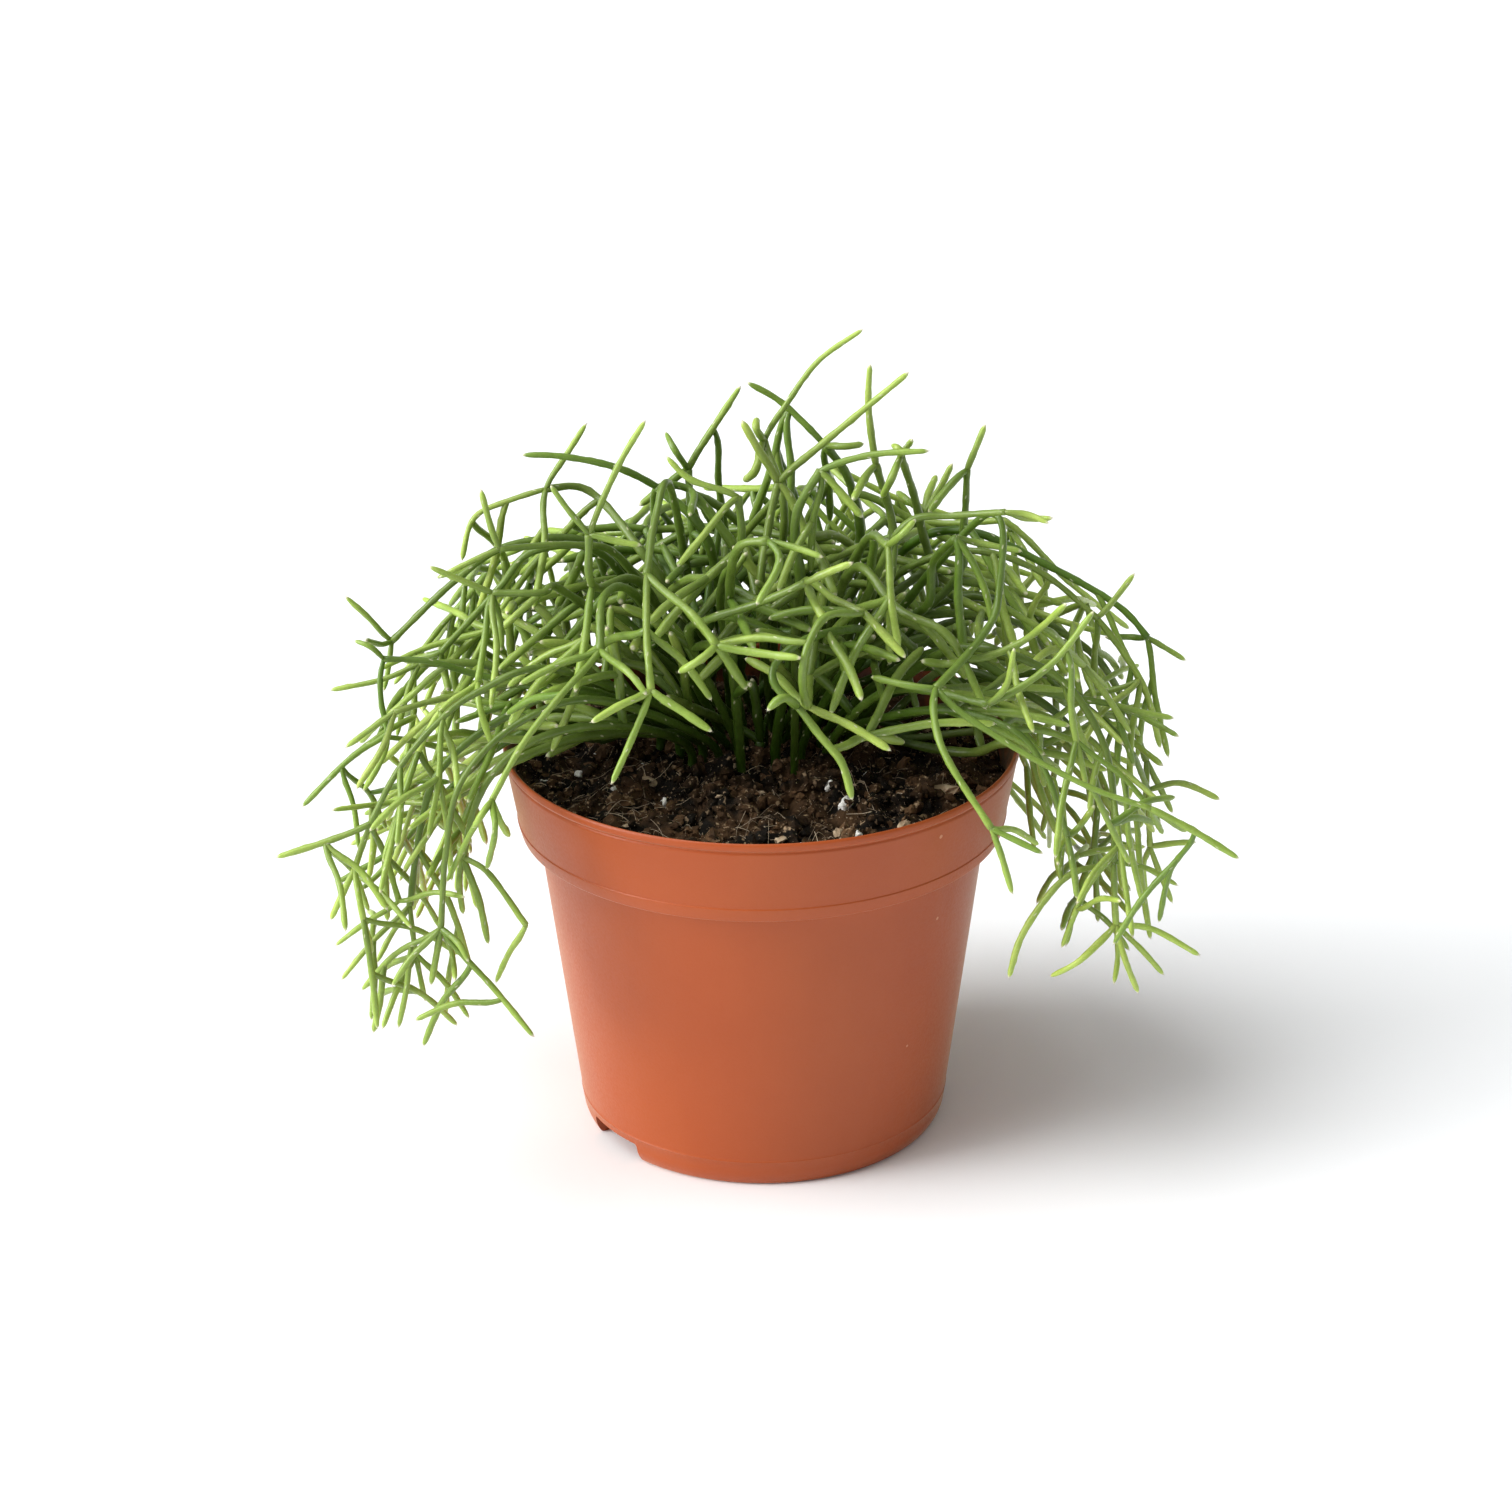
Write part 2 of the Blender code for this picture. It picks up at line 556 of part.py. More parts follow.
def nearest_roots(roots, towards):
    """The free roots that lie most in a stem's own direction, the nearest first."""
    flat = np.array((towards[0], towards[1], 0.0))
    wanted = flat * min(1.0, ROOT_LEAN * ROOT_DISC_RADIUS / max(1.0, float(np.linalg.norm(flat))))
    wanted = wanted + (0.0, ROOT_DISC_BACK, 0.0)
    order = sorted(range(len(roots)), key=lambda number: float(np.linalg.norm(roots[number] - wanted)))
    return order[:ROOT_TRIES]


def place_rooted(thicket, owner, plan, roots, rng):
    """The spray's first stem, from the nearest root that it finds a clear way from."""
    for number in nearest_roots(roots, plan["places"][0]):
        root = roots[number].copy()
        root[2] = peat_height(root[0], root[1]) - ROOT_DEPTH
        placed = place_limb(thicket, owner, plan["places"], root, np.array((0.0, 0.0, 1.0)), 0.0, rng, True)
        if placed:
            roots.pop(number)
            return placed
    return None


def fills(place):
    """Whether a side shoot may reach here: inside the dome, or in a curtain beside the pot, and not over
    the peat that lies bare at the front."""
    x, y, z = place
    start, end, dip = BARE_PEAT_DIP
    level = BARE_PEAT_LEVEL - dip * min(1.0, max(0.0, (abs(x) - start) / (end - start)))
    if abs(x) < BARE_PEAT_ACROSS and z + y * math.tan(EYE_PITCH) < level:
        return False
    across, depth, height = DOME
    if z > DOME_FOOT and (x / across)**2 + (y / depth)**2 + ((z - DOME_FOOT) / height)**2 < 1:
        return True
    beside = CURTAIN_ACROSS[0] < abs(x) < CURTAIN_ACROSS[1] and CURTAIN_DEPTH[0] < y < CURTAIN_DEPTH[1]
    return beside and CURTAIN_HEIGHT[0] < z < CURTAIN_HEIGHT[1]


def side_shoot(thicket, owner, host, rng):
    """A branchlet from a joint along the host, leaning outwards and down, or None for want of room."""
    line = host[1]
    first = 1 if len(line) < ROOTED_PLACES else PEAT_PLACES
    joint = rng.randrange(first, len(line) - 1 if host[2] else len(line))
    heading = unit(line[joint] - line[joint - 1])
    for _ in range(SIDE_TRIES):
        sideways = np.array([rng.gauss(0, 1) for _ in range(3)])
        outward = unit(line[joint] * (1, 1, 0) + (0.01, 0, 0))
        onwards, aside, out, down = SIDE_LEANINGS
        towards = unit(heading * onwards + unit(sideways) * aside + outward * out - (0, 0, down))
        length = rng.uniform(*SIDE_LENGTH)
        tip = line[joint] + towards * length
        middle = line[joint] + towards * length / 2 + unit(sideways) * BEND * length + (0, 0, BEND * length)
        fine, plain = bent_line(line[joint], heading, [middle, tip], False)
        if fills(tip) and trespass(plain, False) == 0 and sum(thicket.crowding(plain, owner)) == 0:
            thicket.add(plain, owner)
            return fine, plain, True
    return None


def add_side_shoots(thicket, grown, rounds):
    """Grows one more branchlet from each stem of each spray in every round."""
    for round_number in range(rounds):
        for owner, (name, limbs) in enumerate(grown.items()):
            rng = random.Random(f"rice cactus {name} side {round_number}")
            hosts = [host for host in limbs if length_of(host[1]) > LONG_HOST]
            found = [side_shoot(thicket, owner, host, rng) for host in hosts]
            limbs += [shoot for shoot in found if shoot]


def grown_sprays():
    """Name to limbs for every spray. A limb is its fine curve, its plain line, and whether it ends in a
    tip."""
    plans = {name: with_places(plan) for name, plan in SPRAYS.items()}
    for number, bearing in enumerate(BACK_BEARINGS):
        plans[f"back_{number + 1}"] = back_plan(bearing, random.Random(f"rice cactus back {number}"))
    plans = dict(sorted(plans.items(), key=lambda item: item[1]["places"][0][2] + item[1]["places"][-1][1]))
    roots = root_places(len(plans) + SPARE_ROOTS)
    thicket = Thicket()
    grown = {name: [] for name in plans}
    draws = {name: random.Random("rice cactus " + name) for name in plans}
    waiting = [(owner, name, plan, None, None, 0.0) for owner, (name, plan) in enumerate(plans.items())]
    while waiting:
        owner, name, plan, start, heading, shift = waiting.pop(0)
        if start is None:
            placed = place_rooted(thicket, owner, plan, roots, draws[name])
        else:
            placed = place_limb(thicket, owner, plan["places"], start, heading, shift, draws[name])
        if placed is None:
            continue
        fine, line, shift = placed
        grown[name].append((fine, line, not plan["grows"]))
        heading = unit(fine[-1] - fine[-2])
        waiting += [(owner, name, child, fine[-1], heading, shift) for child in plan["grows"]]
    add_side_shoots(thicket, grown, SIDE_ROUNDS)
    return {name: limbs for name, limbs in grown.items() if limbs}


def material(name, colour, roughness):
    made = bpy.data.materials.new(name)
    made.use_nodes = True
    shader = made.node_tree.nodes["Principled BSDF"]
    shader.inputs["Base Color"].default_value = (*colour, 1)
    shader.inputs["Roughness"].default_value = roughness
    return made


def mesh_object(name, places, faces, look=None):
    """A new object from places in millimetres."""
    mesh = bpy.data.meshes.new(name)
    mesh.from_pydata([Vector(place) * MM for place in places], [], faces)
    if look:
        mesh.materials.append(look)
    made = bpy.data.objects.new(name, mesh)
    bpy.context.scene.collection.objects.link(made)
    return made


def applied(base, kind, **settings):
    """Applies one modifier to the object's mesh."""
    step = base.modifiers.new("step", kind)
    for setting, value in settings.items():
        setattr(step, setting, value)
    evaluated = base.evaluated_get(bpy.context.evaluated_depsgraph_get())
    result = bpy.data.meshes.new_from_object(evaluated)
    base.modifiers.remove(step)
    base.data = result


def combined(base, others, operation):
    """Applies one Boolean of the base with all the others, which are then removed."""
    group = bpy.data.collections.new("others")
    bpy.context.scene.collection.children.link(group)
    for other in others:
        bpy.context.scene.collection.objects.unlink(other)
        group.objects.link(other)
    settings = {"operation": operation, "operand_type": "COLLECTION", "collection": group}
    applied(base, "BOOLEAN", solver="MANIFOLD", **settings)
    for other in others:
        bpy.data.objects.remove(other)
    bpy.data.collections.remove(group)
    cleaned = bmesh.new()
    cleaned.from_mesh(base.data)
    bmesh.ops.remove_doubles(cleaned, verts=cleaned.verts, dist=WELD * MM)
    bmesh.ops.dissolve_degenerate(cleaned, edges=cleaned.edges, dist=WELD * MM)
    bmesh.ops.triangulate(cleaned, faces=cleaned.faces)
    cleaned.to_mesh(base.data)
    cleaned.free()


def turned(name, profile, sides, look, height=None):
    """A solid turned about the upright axis. The profile is (radius, height) from the axis out and back to
    it, and where its height is None, the height comes from the function."""
    places = [(0.0, 0.0, profile[0][1])]
    for radius, level in profile[1:-1]:
        for number in range(sides):
            angle = 2 * math.pi * number / sides
            x, y = radius * math.cos(angle), radius * math.sin(angle)
            places.append((x, y, level if level is not None else float(height(x, y))))
    places.append((0.0, 0.0, profile[-1][1]))
    rings, last = len(profile) - 2, len(places) - 1
    faces = []
    for number in range(sides):
        after = (number + 1) % sides
        faces.append((0, 1 + after, 1 + number))
        faces.append((last, last - sides + number, last - sides + after))
        for ring in range(rings - 1):
            low, high = 1 + ring * sides, 1 + (ring + 1) * sides
            faces.append((low + number, low + after, high + after, high + number))
    return mesh_object(name, places, faces, look)


def prism(name, centre, radius, bottom, top, sides):
    """An upright prism that cuts a hole."""
    profile = [(0.0, bottom), (radius, bottom), (radius, top), (0.0, top)]
    made = turned(name, profile, sides, None)
    for vertex in made.data.vertices:
        vertex.co.x += centre[0] * MM
        vertex.co.y += centre[1] * MM
    return made


def pot_profile():
    """The outside from the middle of the underside up to the rim, then the inside down to the floor."""
    floor = BASE_RECESS + BASE_PLATE
    return [
        (0.0, 0.0),
        (CENTRE_PAD_RADIUS, 0.0),
        (CENTRE_PAD_RADIUS + RECESS_SLOPES[0], BASE_RECESS),
        (FOOT_RADIUS - FOOT_WIDTH - RECESS_SLOPES[1], BASE_RECESS),
        (FOOT_RADIUS - FOOT_WIDTH, 0.0),
        (FOOT_RADIUS, 0.0),
        (FOOT_RADIUS + FOOT_ROUNDING[0], FOOT_ROUNDING[1]),
        (BODY_BOTTOM_RADIUS, CORNER_HEIGHT),
        (BODY_TOP_RADIUS, COLLAR_FOOT_HEIGHT),
        (COLLAR_LIP_RADIUS, COLLAR_FOOT_HEIGHT),
        (COLLAR_LIP_RADIUS, COLLAR_CREASE_HEIGHT - BEAD_SHOULDER),
        (COLLAR_CREASE_RADIUS, COLLAR_CREASE_HEIGHT),
        (COLLAR_TOP_RADIUS, POT_HEIGHT - BEAD_HEIGHT - BEAD_SHOULDER),
        (COLLAR_TOP_RADIUS - BEAD_GROOVE, POT_HEIGHT - BEAD_HEIGHT),
        (RIM_RADIUS, POT_HEIGHT - BEAD_HEIGHT + BEAD_SHOULDER),
        (RIM_RADIUS, POT_HEIGHT - RIM_ROUNDING),
        (RIM_RADIUS - RIM_ROUNDING, POT_HEIGHT),
        (RIM_INNER_RADIUS, POT_HEIGHT - RIM_ROUNDING),
        (COLLAR_CREASE_RADIUS - WALL, COLLAR_CREASE_HEIGHT),
        (BODY_TOP_RADIUS - WALL, COLLAR_FOOT_HEIGHT - WALL),
        (BODY_BOTTOM_RADIUS - WALL, CORNER_HEIGHT + WALL),
        (FOOT_RADIUS - WALL, floor),
        (0.0, floor),
    ]


def make_pot(look):
    """The pot with its two notches in the foot ring and its drain holes."""
    pot = turned("pot", pot_profile(), POT_SIDES, look)
    cutters = []
    for angle in NOTCH_ANGLES:
        turn = math.radians(angle) - math.pi / 2
        places = []
        for x in (FOOT_RADIUS - NOTCH_DEPTH, BODY_BOTTOM_RADIUS + CUT_PAST):
            for y in (-NOTCH_WIDTH / 2, NOTCH_WIDTH / 2):
                for z in (-CUT_PAST, NOTCH_HEIGHT):
                    places.append((
                        x * math.cos(turn) - y * math.sin(turn),
                        x * math.sin(turn) + y * math.cos(turn),
                        z,
                    ))
        cutters.append(mesh_object("notch", places, BOX_FACES))
    for number in range(DRAIN_HOLES):
        angle = 2 * math.pi * (number + 0.5) / DRAIN_HOLES
        centre = (DRAIN_RING_RADIUS * math.cos(angle), DRAIN_RING_RADIUS * math.sin(angle))
        top = BASE_RECESS + BASE_PLATE + CUT_PAST
        cutters.append(prism("drain", centre, DRAIN_RADIUS, BASE_RECESS - CUT_PAST, top, DRAIN_SIDES))
    combined(pot, cutters, "DIFFERENCE")
    return pot


def make_soil(look, roots):
    """The peat, from just over the pot's floor to its mounded top, with a plain hole for every root."""
    crease = COLLAR_CREASE_RADIUS - WALL
    flare = (RIM_INNER_RADIUS - crease) / (POT_HEIGHT - RIM_ROUNDING - COLLAR_CREASE_HEIGHT)
    edge = crease + flare * (PEAT_EDGE_HEIGHT - COLLAR_CREASE_HEIGHT) - GAP
    profile = [
        (0.0, BASE_RECESS + BASE_PLATE + GAP),
        (FOOT_RADIUS - WALL - 2 * GAP, BASE_RECESS + BASE_PLATE + GAP),
        (BODY_BOTTOM_RADIUS - WALL - GAP, CORNER_HEIGHT + WALL),
        (BODY_TOP_RADIUS - WALL - GAP, COLLAR_FOOT_HEIGHT - WALL + GAP),
        (crease - GAP, COLLAR_CREASE_HEIGHT + GAP),
    ]
    profile += [(edge * ring / PEAT_RINGS, None) for ring in range(PEAT_RINGS, 0, -1)]
    profile.append((0.0, float(peat_height(0.0, 0.0))))
    soil = turned("soil", profile, POT_SIDES, look, peat_height)
    holes = []
    for root in roots:
        bottom = root[2] - GAP
        holes.append(prism("hole", root, ROOT_HOLE_RADIUS, bottom, bottom + 2 * ROOT_DEPTH, STEM_SIDES))
    combined(soil, holes, "DIFFERENCE")
    return soil


def carried_frames(line, first_side):
    """At each point of the line, two directions across it, carried along without twisting."""
    spans = [unit(span) for span in np.diff(line, axis=0)]
    headings = [spans[0], *[unit(a + b) for a, b in zip(spans, spans[1:])], spans[-1]]
    side, frames = first_side, []
    for heading in headings:
        side = unit(side - heading * float(side @ heading))
        frames.append((side, np.cross(heading, side)))
    return frames


def tube(name, line, is_tip, rooted, look, turn):
    """One stem with few sides: flat where it roots, else with a short point sunk in its neighbour."""
    line = np.array(line)
    first, last = unit(line[1] - line[0]), unit(line[-1] - line[-2])
    across = np.cross(first, (0.0, 0.0, 1.0)) if abs(first[2]) < 0.9 else np.array((1.0, 0.0, 0.0))
    side = unit(across - first * float(across @ first))
    side = side * math.cos(turn) + np.cross(first, side) * math.sin(turn)
    end = line[-1] if is_tip else line[-1] + last * KNOT_LENGTH
    if is_tip:
        line[-1] = line[-1] - last * TIP_LENGTH
    places = []
    for centre, (right, up) in zip(line, carried_frames(line, side)):
        corner = STEM_CORNERS * stem_radius(centre)
        for number in range(STEM_SIDES):
            angle = 2 * math.pi * number / STEM_SIDES
            places.append(centre + (right * math.cos(angle) + up * math.sin(angle)) * corner)
    faces = []
    for ring in range(len(line) - 1):
        for number in range(STEM_SIDES):
            after = (number + 1) % STEM_SIDES
            low, high = ring * STEM_SIDES, (ring + 1) * STEM_SIDES
            faces.append((low + number, low + after, high + after))
            faces.append((low + number, high + after, high + number))
    if rooted:
        faces.append(tuple(reversed(range(STEM_SIDES))))
    else:
        places.append(line[0] - first * KNOT_LENGTH)
        faces += [(len(places) - 1, (number + 1) % STEM_SIDES, number) for number in range(STEM_SIDES)]
    top = (len(line) - 1) * STEM_SIDES
    places.append(end)
    for number in range(STEM_SIDES):
        faces.append((len(places) - 1, top + number, top + (number + 1) % STEM_SIDES))
    return mesh_object(name, places, faces, look)


def runs(limbs):
    """The plain lines, each joined to the straightest of the lines that fork from its end."""
    pieces = [[line, is_tip] for _, line, is_tip in limbs]
    number = 0
    while number < len(pieces):
        line, is_tip = pieces[number]
        heading = unit(line[-1] - line[-2])
        forks = [other for other in pieces[number + 1:] if np.allclose(other[0][0], line[-1])]
        if forks:
            onward = max(forks, key=lambda other: float(unit(other[0][1] - other[0][0]) @ heading))
            pieces[number] = [np.concatenate([line, onward[0][1:]]), onward[1]]
            pieces = [piece for piece in pieces if piece is not onward]
        else:
            number += 1
    return pieces


def is_one_body(mesh):
    """Whether every edge lies between two faces, and the faces all hang together by their edges."""
    probe = bmesh.new()
    probe.from_mesh(mesh)
    closed = all(len(edge.link_faces) == 2 for edge in probe.edges)
    first = next(iter(probe.faces))
    reached, front = {first}, [first]
    while front:
        fresh = {beside for edge in front.pop().edges for beside in edge.link_faces} - reached
        reached |= fresh
        front += fresh
    whole = len(reached) == len(probe.faces)
    probe.free()
    return closed and whole


def make_spray(name, limbs, look):
    """A spray's stems as one body, turned afresh about their own lengths where two don't join."""
    for attempt in range(TURN_TRIES):
        rng = random.Random(f"rice cactus turn {name} {attempt}")
        tubes = []
        for number, (line, is_tip) in enumerate(runs(limbs)):
            turn = rng.uniform(0, math.pi / 2) if number else 0.0
            tubes.append(tube(name, line, is_tip, number == 0, look, turn))
        spray = tubes[0]
        combined(spray, tubes[1:], "UNION")
        applied(spray, "DECIMATE", ratio=KEPT_SHARE)
        if is_one_body(spray.data):
            break
        if attempt < TURN_TRIES - 1:
            bpy.data.objects.remove(spray)
    return spray


def build():
    for leftover in list(bpy.data.objects):
        bpy.data.objects.remove(leftover)
    sprays = grown_sprays()
    make_pot(material("pot", (0.58, 0.22, 0.10), 0.45))
    make_soil(material("soil", (0.045, 0.028, 0.018), 0.95), [limbs[0][1][0] for limbs in sprays.values()])
    stem = material("stem", (0.22, 0.38, 0.10), 0.5)
    for name, limbs in sprays.items():
        make_spray(name, limbs, stem)


build()
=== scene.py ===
"""The looks of the potted rice cactus: its stems, its peat and its plastic nursery pot, on a pale floor.

Lengths are in millimetres until a mesh is made. The growth rule and its places are those of the solids, so
every fine stem lies where its solid one does, and finer branchlets fill in between.
"""

import math
import random

import bmesh
import bpy
import numpy as np
from mathutils import Matrix, Vector, noise


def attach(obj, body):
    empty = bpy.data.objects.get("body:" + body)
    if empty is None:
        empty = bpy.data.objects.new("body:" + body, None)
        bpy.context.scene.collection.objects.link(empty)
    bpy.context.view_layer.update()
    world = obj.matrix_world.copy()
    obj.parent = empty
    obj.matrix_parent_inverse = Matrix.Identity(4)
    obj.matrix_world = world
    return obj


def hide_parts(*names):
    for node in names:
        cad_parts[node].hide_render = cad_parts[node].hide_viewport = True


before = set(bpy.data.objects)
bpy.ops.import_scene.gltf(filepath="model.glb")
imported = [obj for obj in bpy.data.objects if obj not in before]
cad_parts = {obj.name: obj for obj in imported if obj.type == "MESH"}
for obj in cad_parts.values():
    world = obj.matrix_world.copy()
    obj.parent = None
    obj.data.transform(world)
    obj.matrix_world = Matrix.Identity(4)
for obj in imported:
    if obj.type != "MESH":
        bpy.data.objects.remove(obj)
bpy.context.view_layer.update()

MM = 0.001

# Pot: a standard 12 cm nursery pot
POT_HEIGHT = 95.0
RIM_RADIUS = 60.0
RIM_INNER_RADIUS = 58.8
BEAD_HEIGHT = 2.3
BEAD_GROOVE = 0.5
BEAD_SHOULDER = 0.6
BEAD_SOFTNESS = 0.2
RIM_ROUNDING = 0.5
COLLAR_TOP_RADIUS = 59.5
COLLAR_CREASE_RADIUS = 57.1
COLLAR_CREASE_HEIGHT = 78.2
COLLAR_LIP_RADIUS = 57.3
COLLAR_FOOT_HEIGHT = 74.4
LIP_TAPER = 0.9
CREASE_WIDTH = 0.5
CREASE_DEPTH = 0.04
BODY_TOP_RADIUS = 52.6
BODY_BOTTOM_RADIUS = 44.0
CORNER_HEIGHT = 8.0
MOULD_LINE_HEIGHT = 6.7
MOULD_LINE = 0.14
FOOT_RADIUS = 42.0
FOOT_WIDTH = 2.4
FOOT_ROUNDING = (1.4, 2.6)
RECESS_SLOPES = (1.5, 0.9)
WALL = 1.0
BASE_PLATE = 1.2
BASE_RECESS = 5.2
CENTRE_PAD_RADIUS = 14.0
NOTCH_ANGLES = (-55.0, 125.0)
NOTCH_WIDTH = 17.5
NOTCH_HEIGHT = 5.0
NOTCH_DEPTH = 5.2
NOTCH_CORNER = 0.9
NOTCH_CORNER_STEPS = 4
DRAIN_HOLES = 6
DRAIN_RING_RADIUS = 27.0
DRAIN_RADIUS = 4.0
DRAIN_SIDES = 32
CUT_PAST = 2.0
POT_SIDES = 160
CORNER_STEPS = 5
CORNER_SHARE = 0.45
LEAST_CORNER = 0.05
WALL_STEP = 6.0
SHARP_EDGE = math.radians(40)

# Peat that clings to the pot's inner wall, and painted shade there, from the rim down
DUST_AND_SHADE_DEPTH = 2.5

# Peat: it fills the pot to a little below the rim and is mounded in the middle
GAP = 0.3
PEAT_EDGE_HEIGHT = 87.6
PEAT_MOUND = 4.0
PEAT_ROUGHNESS = 0.7
PEAT_SIDES = 200
PEAT_RINGS = 66

# Clumps of the fine peat: how many waves to a millimetre and how deep, from a layer of the noise
CLUMPS = ((0.10, 1.7), (0.26, 1.5), (0.70, 0.8))
CLUMP_LAYER = 3.7
CLUMP_RISE = 1.4
CLUMP_LEVEL = 0.55

# Crumbs, clods, fibres, chips and perlite: how many, their size, how flat and how rough they are, how far
# out they lie as a share of the peat's radius, and how high, as a share of their size or in millimetres
CRUMBS = 3000
CRUMB_SIZE = (0.35, 1.15)
CRUMB_KINDS = (0.6, 0.8, 1.1, 1.8)
CRUMB_FLATNESS = (0.5, 0.9)
CRUMB_ROUGHNESS = 0.75
CRUMB_SPREAD = 0.97
CRUMB_LIFT = 0.25
CLODS = 90
CLOD_SIZE = (1.4, 3.2)
CLOD_REACH = 34.0
CLOD_SHRINKING = 0.4
CLOD_FLATNESS = (0.6, 0.95)
CLOD_ROUGHNESS = 1.1
CLOD_LIFT = 0.2
FIBRES = 520
FIBRE_LENGTH = (2.5, 9.0)
FIBRE_KINDS = (0.5, 0.8, 1.0)
FIBRE_STEP = 1.3
FIBRE_CURL = 0.10
FIBRE_LIFT = (0.0, 0.6)
FIBRE_TILTS = (0.0, 0.0, 0.1, 0.35)
FIBRE_CLEARANCE = 0.3
FIBRE_RADIUS = (0.05, 0.13)
FIBRE_THINNING = 0.6
FIBRE_SPREAD = 0.9
FIBRE_ARCH = 1.5
FIBRE_WALL_GAP = 0.8
LEAST_FIBRE = 4
CHIPS = 26
CHIP_SIZE = (0.5, 1.2)
CHIP_FLATNESS = (0.2, 0.45)
CHIP_ROUGHNESS = 0.9
PERLITE = 22
PERLITE_SIZE = (0.3, 0.7)
PERLITE_FLATNESS = 0.8
PERLITE_ROUGHNESS = 0.7
PERLITE_FRONT = -30.0
GRAIN_SPREAD = 0.93
GRAIN_LIFT = (0, 0, 0.3)

# Shape of every crumb, clod, chip and grain
GRAIN_LENGTH = (0.8, 1.5)
GRAIN_WIDTH = (0.6, 1.0)
GRAIN_WAVE = 1.3
FLAT_GRAIN = 0.5
FLAT_TILT = 0.5

# Clods, bark chips and perlite that the reference view shows, each (across, down, size). A sight line is
# followed in small steps until it nearly meets the peat
SIGHT_STEP = 0.25
SIGHT_CLEARANCE = 0.6
SEEN_CLOD_LIFT = 0.3
SEEN_CLOD_FLATNESS = 0.8
SEEN_CLOD_TONE = 0.2
SEEN_CHIP_LIFT = (0, 0, 0.9)
SEEN_CHIP_FLATNESS = 0.45
SEEN_CHIP_TONES = (0.6, 1.0)
SEEN_PERLITE_LIFT = (0, 0, 0.6)
SEEN_CLODS = ((722, 768, 3.6), (700, 764, 2.6), (742, 776, 2.4), (688, 780, 2.0), (712, 790, 1.8))
SEEN_CHIPS = ((686, 757, 2.6), (945, 786, 3.0), (648, 768, 1.9), (905, 822, 1.6), (735, 762, 1.5),
              (838, 822, 1.5), (781, 833, 1.4))
SEEN_PERLITE = ((845, 800, 1.8), (829, 782, 1.3), (664, 794, 1.1), (578, 767, 0.9), (858, 828, 1.0),
                (803, 832, 0.8), (730, 765, 0.8), (542, 770, 0.6), (866, 767, 0.9), (801, 834, 0.6))

# Stems
STEM_RADIUS = 1.12
THIN_STEM_RADIUS = 0.76
THINNING = (50.0, 88.0)
STEM_ROOM = 3.01
STEM_REACH = 1.63
LONG_SPAN = 15.0
SHORT_SPAN = 11.0
LONG_STEM = 33.0
CURVE_STEPS = 8
ROOT_DEPTH = 8.0
ROOT_STRAIGHT = 9.0
ROOT_LEAVES = 12.0
ROOT_DISC_RADIUS = 25.5
ROOT_DISC_BACK = 12.0
ROOT_LEAN = 0.9
SPARE_ROOTS = 4
ROOT_TRIES = 6
GOLDEN_ANGLE = math.pi * (3 - math.sqrt(5))

# Skin of the stems: rings, girth and lumps, the neck at a joint, the knob at a fork and the taper of a tip
RING_SPACING = 1.3
STEM_SIDES = 10
SMOOTHINGS = 3
GIRTH = (0.80, 1.00)
ROOTED_GIRTH = 1.05
BELLY = 0.03
LUMP_LENGTHS = (7.3, 3.1)
LUMPS = (0.055, 0.036)
NECK = 0.20
NECK_LENGTH = 1.7
KNOB = 0.12
KNOB_LENGTH = 2.2
TAPER_LENGTH = (2.0, 5.0)
TAPER_MOST = 0.6
TAPER_SHARE = 0.76
TAPER_POWER = 0.8
POINT_LENGTH = 1.1
POINT_SHARE = 0.42
POINT_POWER = 0.7
TIP_STOPS = (0.12, 0.35, 0.7)
TIP_CAP = 0.15
FORK_CAP = 0.55
JOINT_CAP = 0.4
PALE_LENGTH = 0.5

# Areoles and bristles: TIP, FORK and AREOLE_HAIRS are how many there are, the least and the most length
FIRST_AREOLE = (2, 6)
AREOLE_SPACING = (4.5, 8.0)
AREOLE_CLEAR = 1.5
AREOLE_TURN = 4
AREOLE_RISE = 0.13
AREOLE_LEAN = (-0.2, 0.9)
AREOLE_SPLAY = (-0.5, 0.5)
HAIR_RADIUS = 0.05
HAIR_TURNS = (0.0, 2.1, 4.2)
HAIR_ASIDE = (0.31, 0.52, 0.79)
TIP_HAIRS = (4, 0.3, 0.7)
TIP_HAIR_START = 0.1
FORK_HAIRS = (5, 0.4, 0.8)
FORK_HAIR_START = 0.9
FORK_SPLAY = 1.6
AREOLE_HAIRS = (2, 0.2, 0.5)

# How youthful and lit the stems look: painted shade darkens them from the inside of the plant out, and youth
# is set at the start of a shoot and gained along it
SHADED_INSIDE_REACH = (34.0, 74.0)
SHADED_INSIDE_SHARE = 0.12
SHOOT_START = 0.40
TIP_GAIN = 0.5
FORK_GAIN = 0.35
SPRAY_TONE = 0.6
TONE_STRAY = 0.08

# Reference view: where its eye is and how its 1512 pixel frame looks at the pot
EYE_DISTANCE = 800.0
EYE_HEIGHT = 436.3
EYE_ACROSS = -1.28
EYE_PITCH = math.radians(23.40)
EYE_ROLL = math.radians(-0.478)
EYE_FOCAL = 3745.0
FRAME_CENTRE = 756.0
SENSOR = 36.0

# How a stem is bent clear of the others: small steps, with a fresh start now and then
TRIES = 600
FRESH_START = 75
FRESH_SHIFT = 7.0
SHIFT_STEP = 1.6
MIDDLE_STEP = 0.5
FORK_STEP = 0.4
BEND = 0.05
JOINT_SHARE = 0.6
TRESPASS_STEP = 2.0

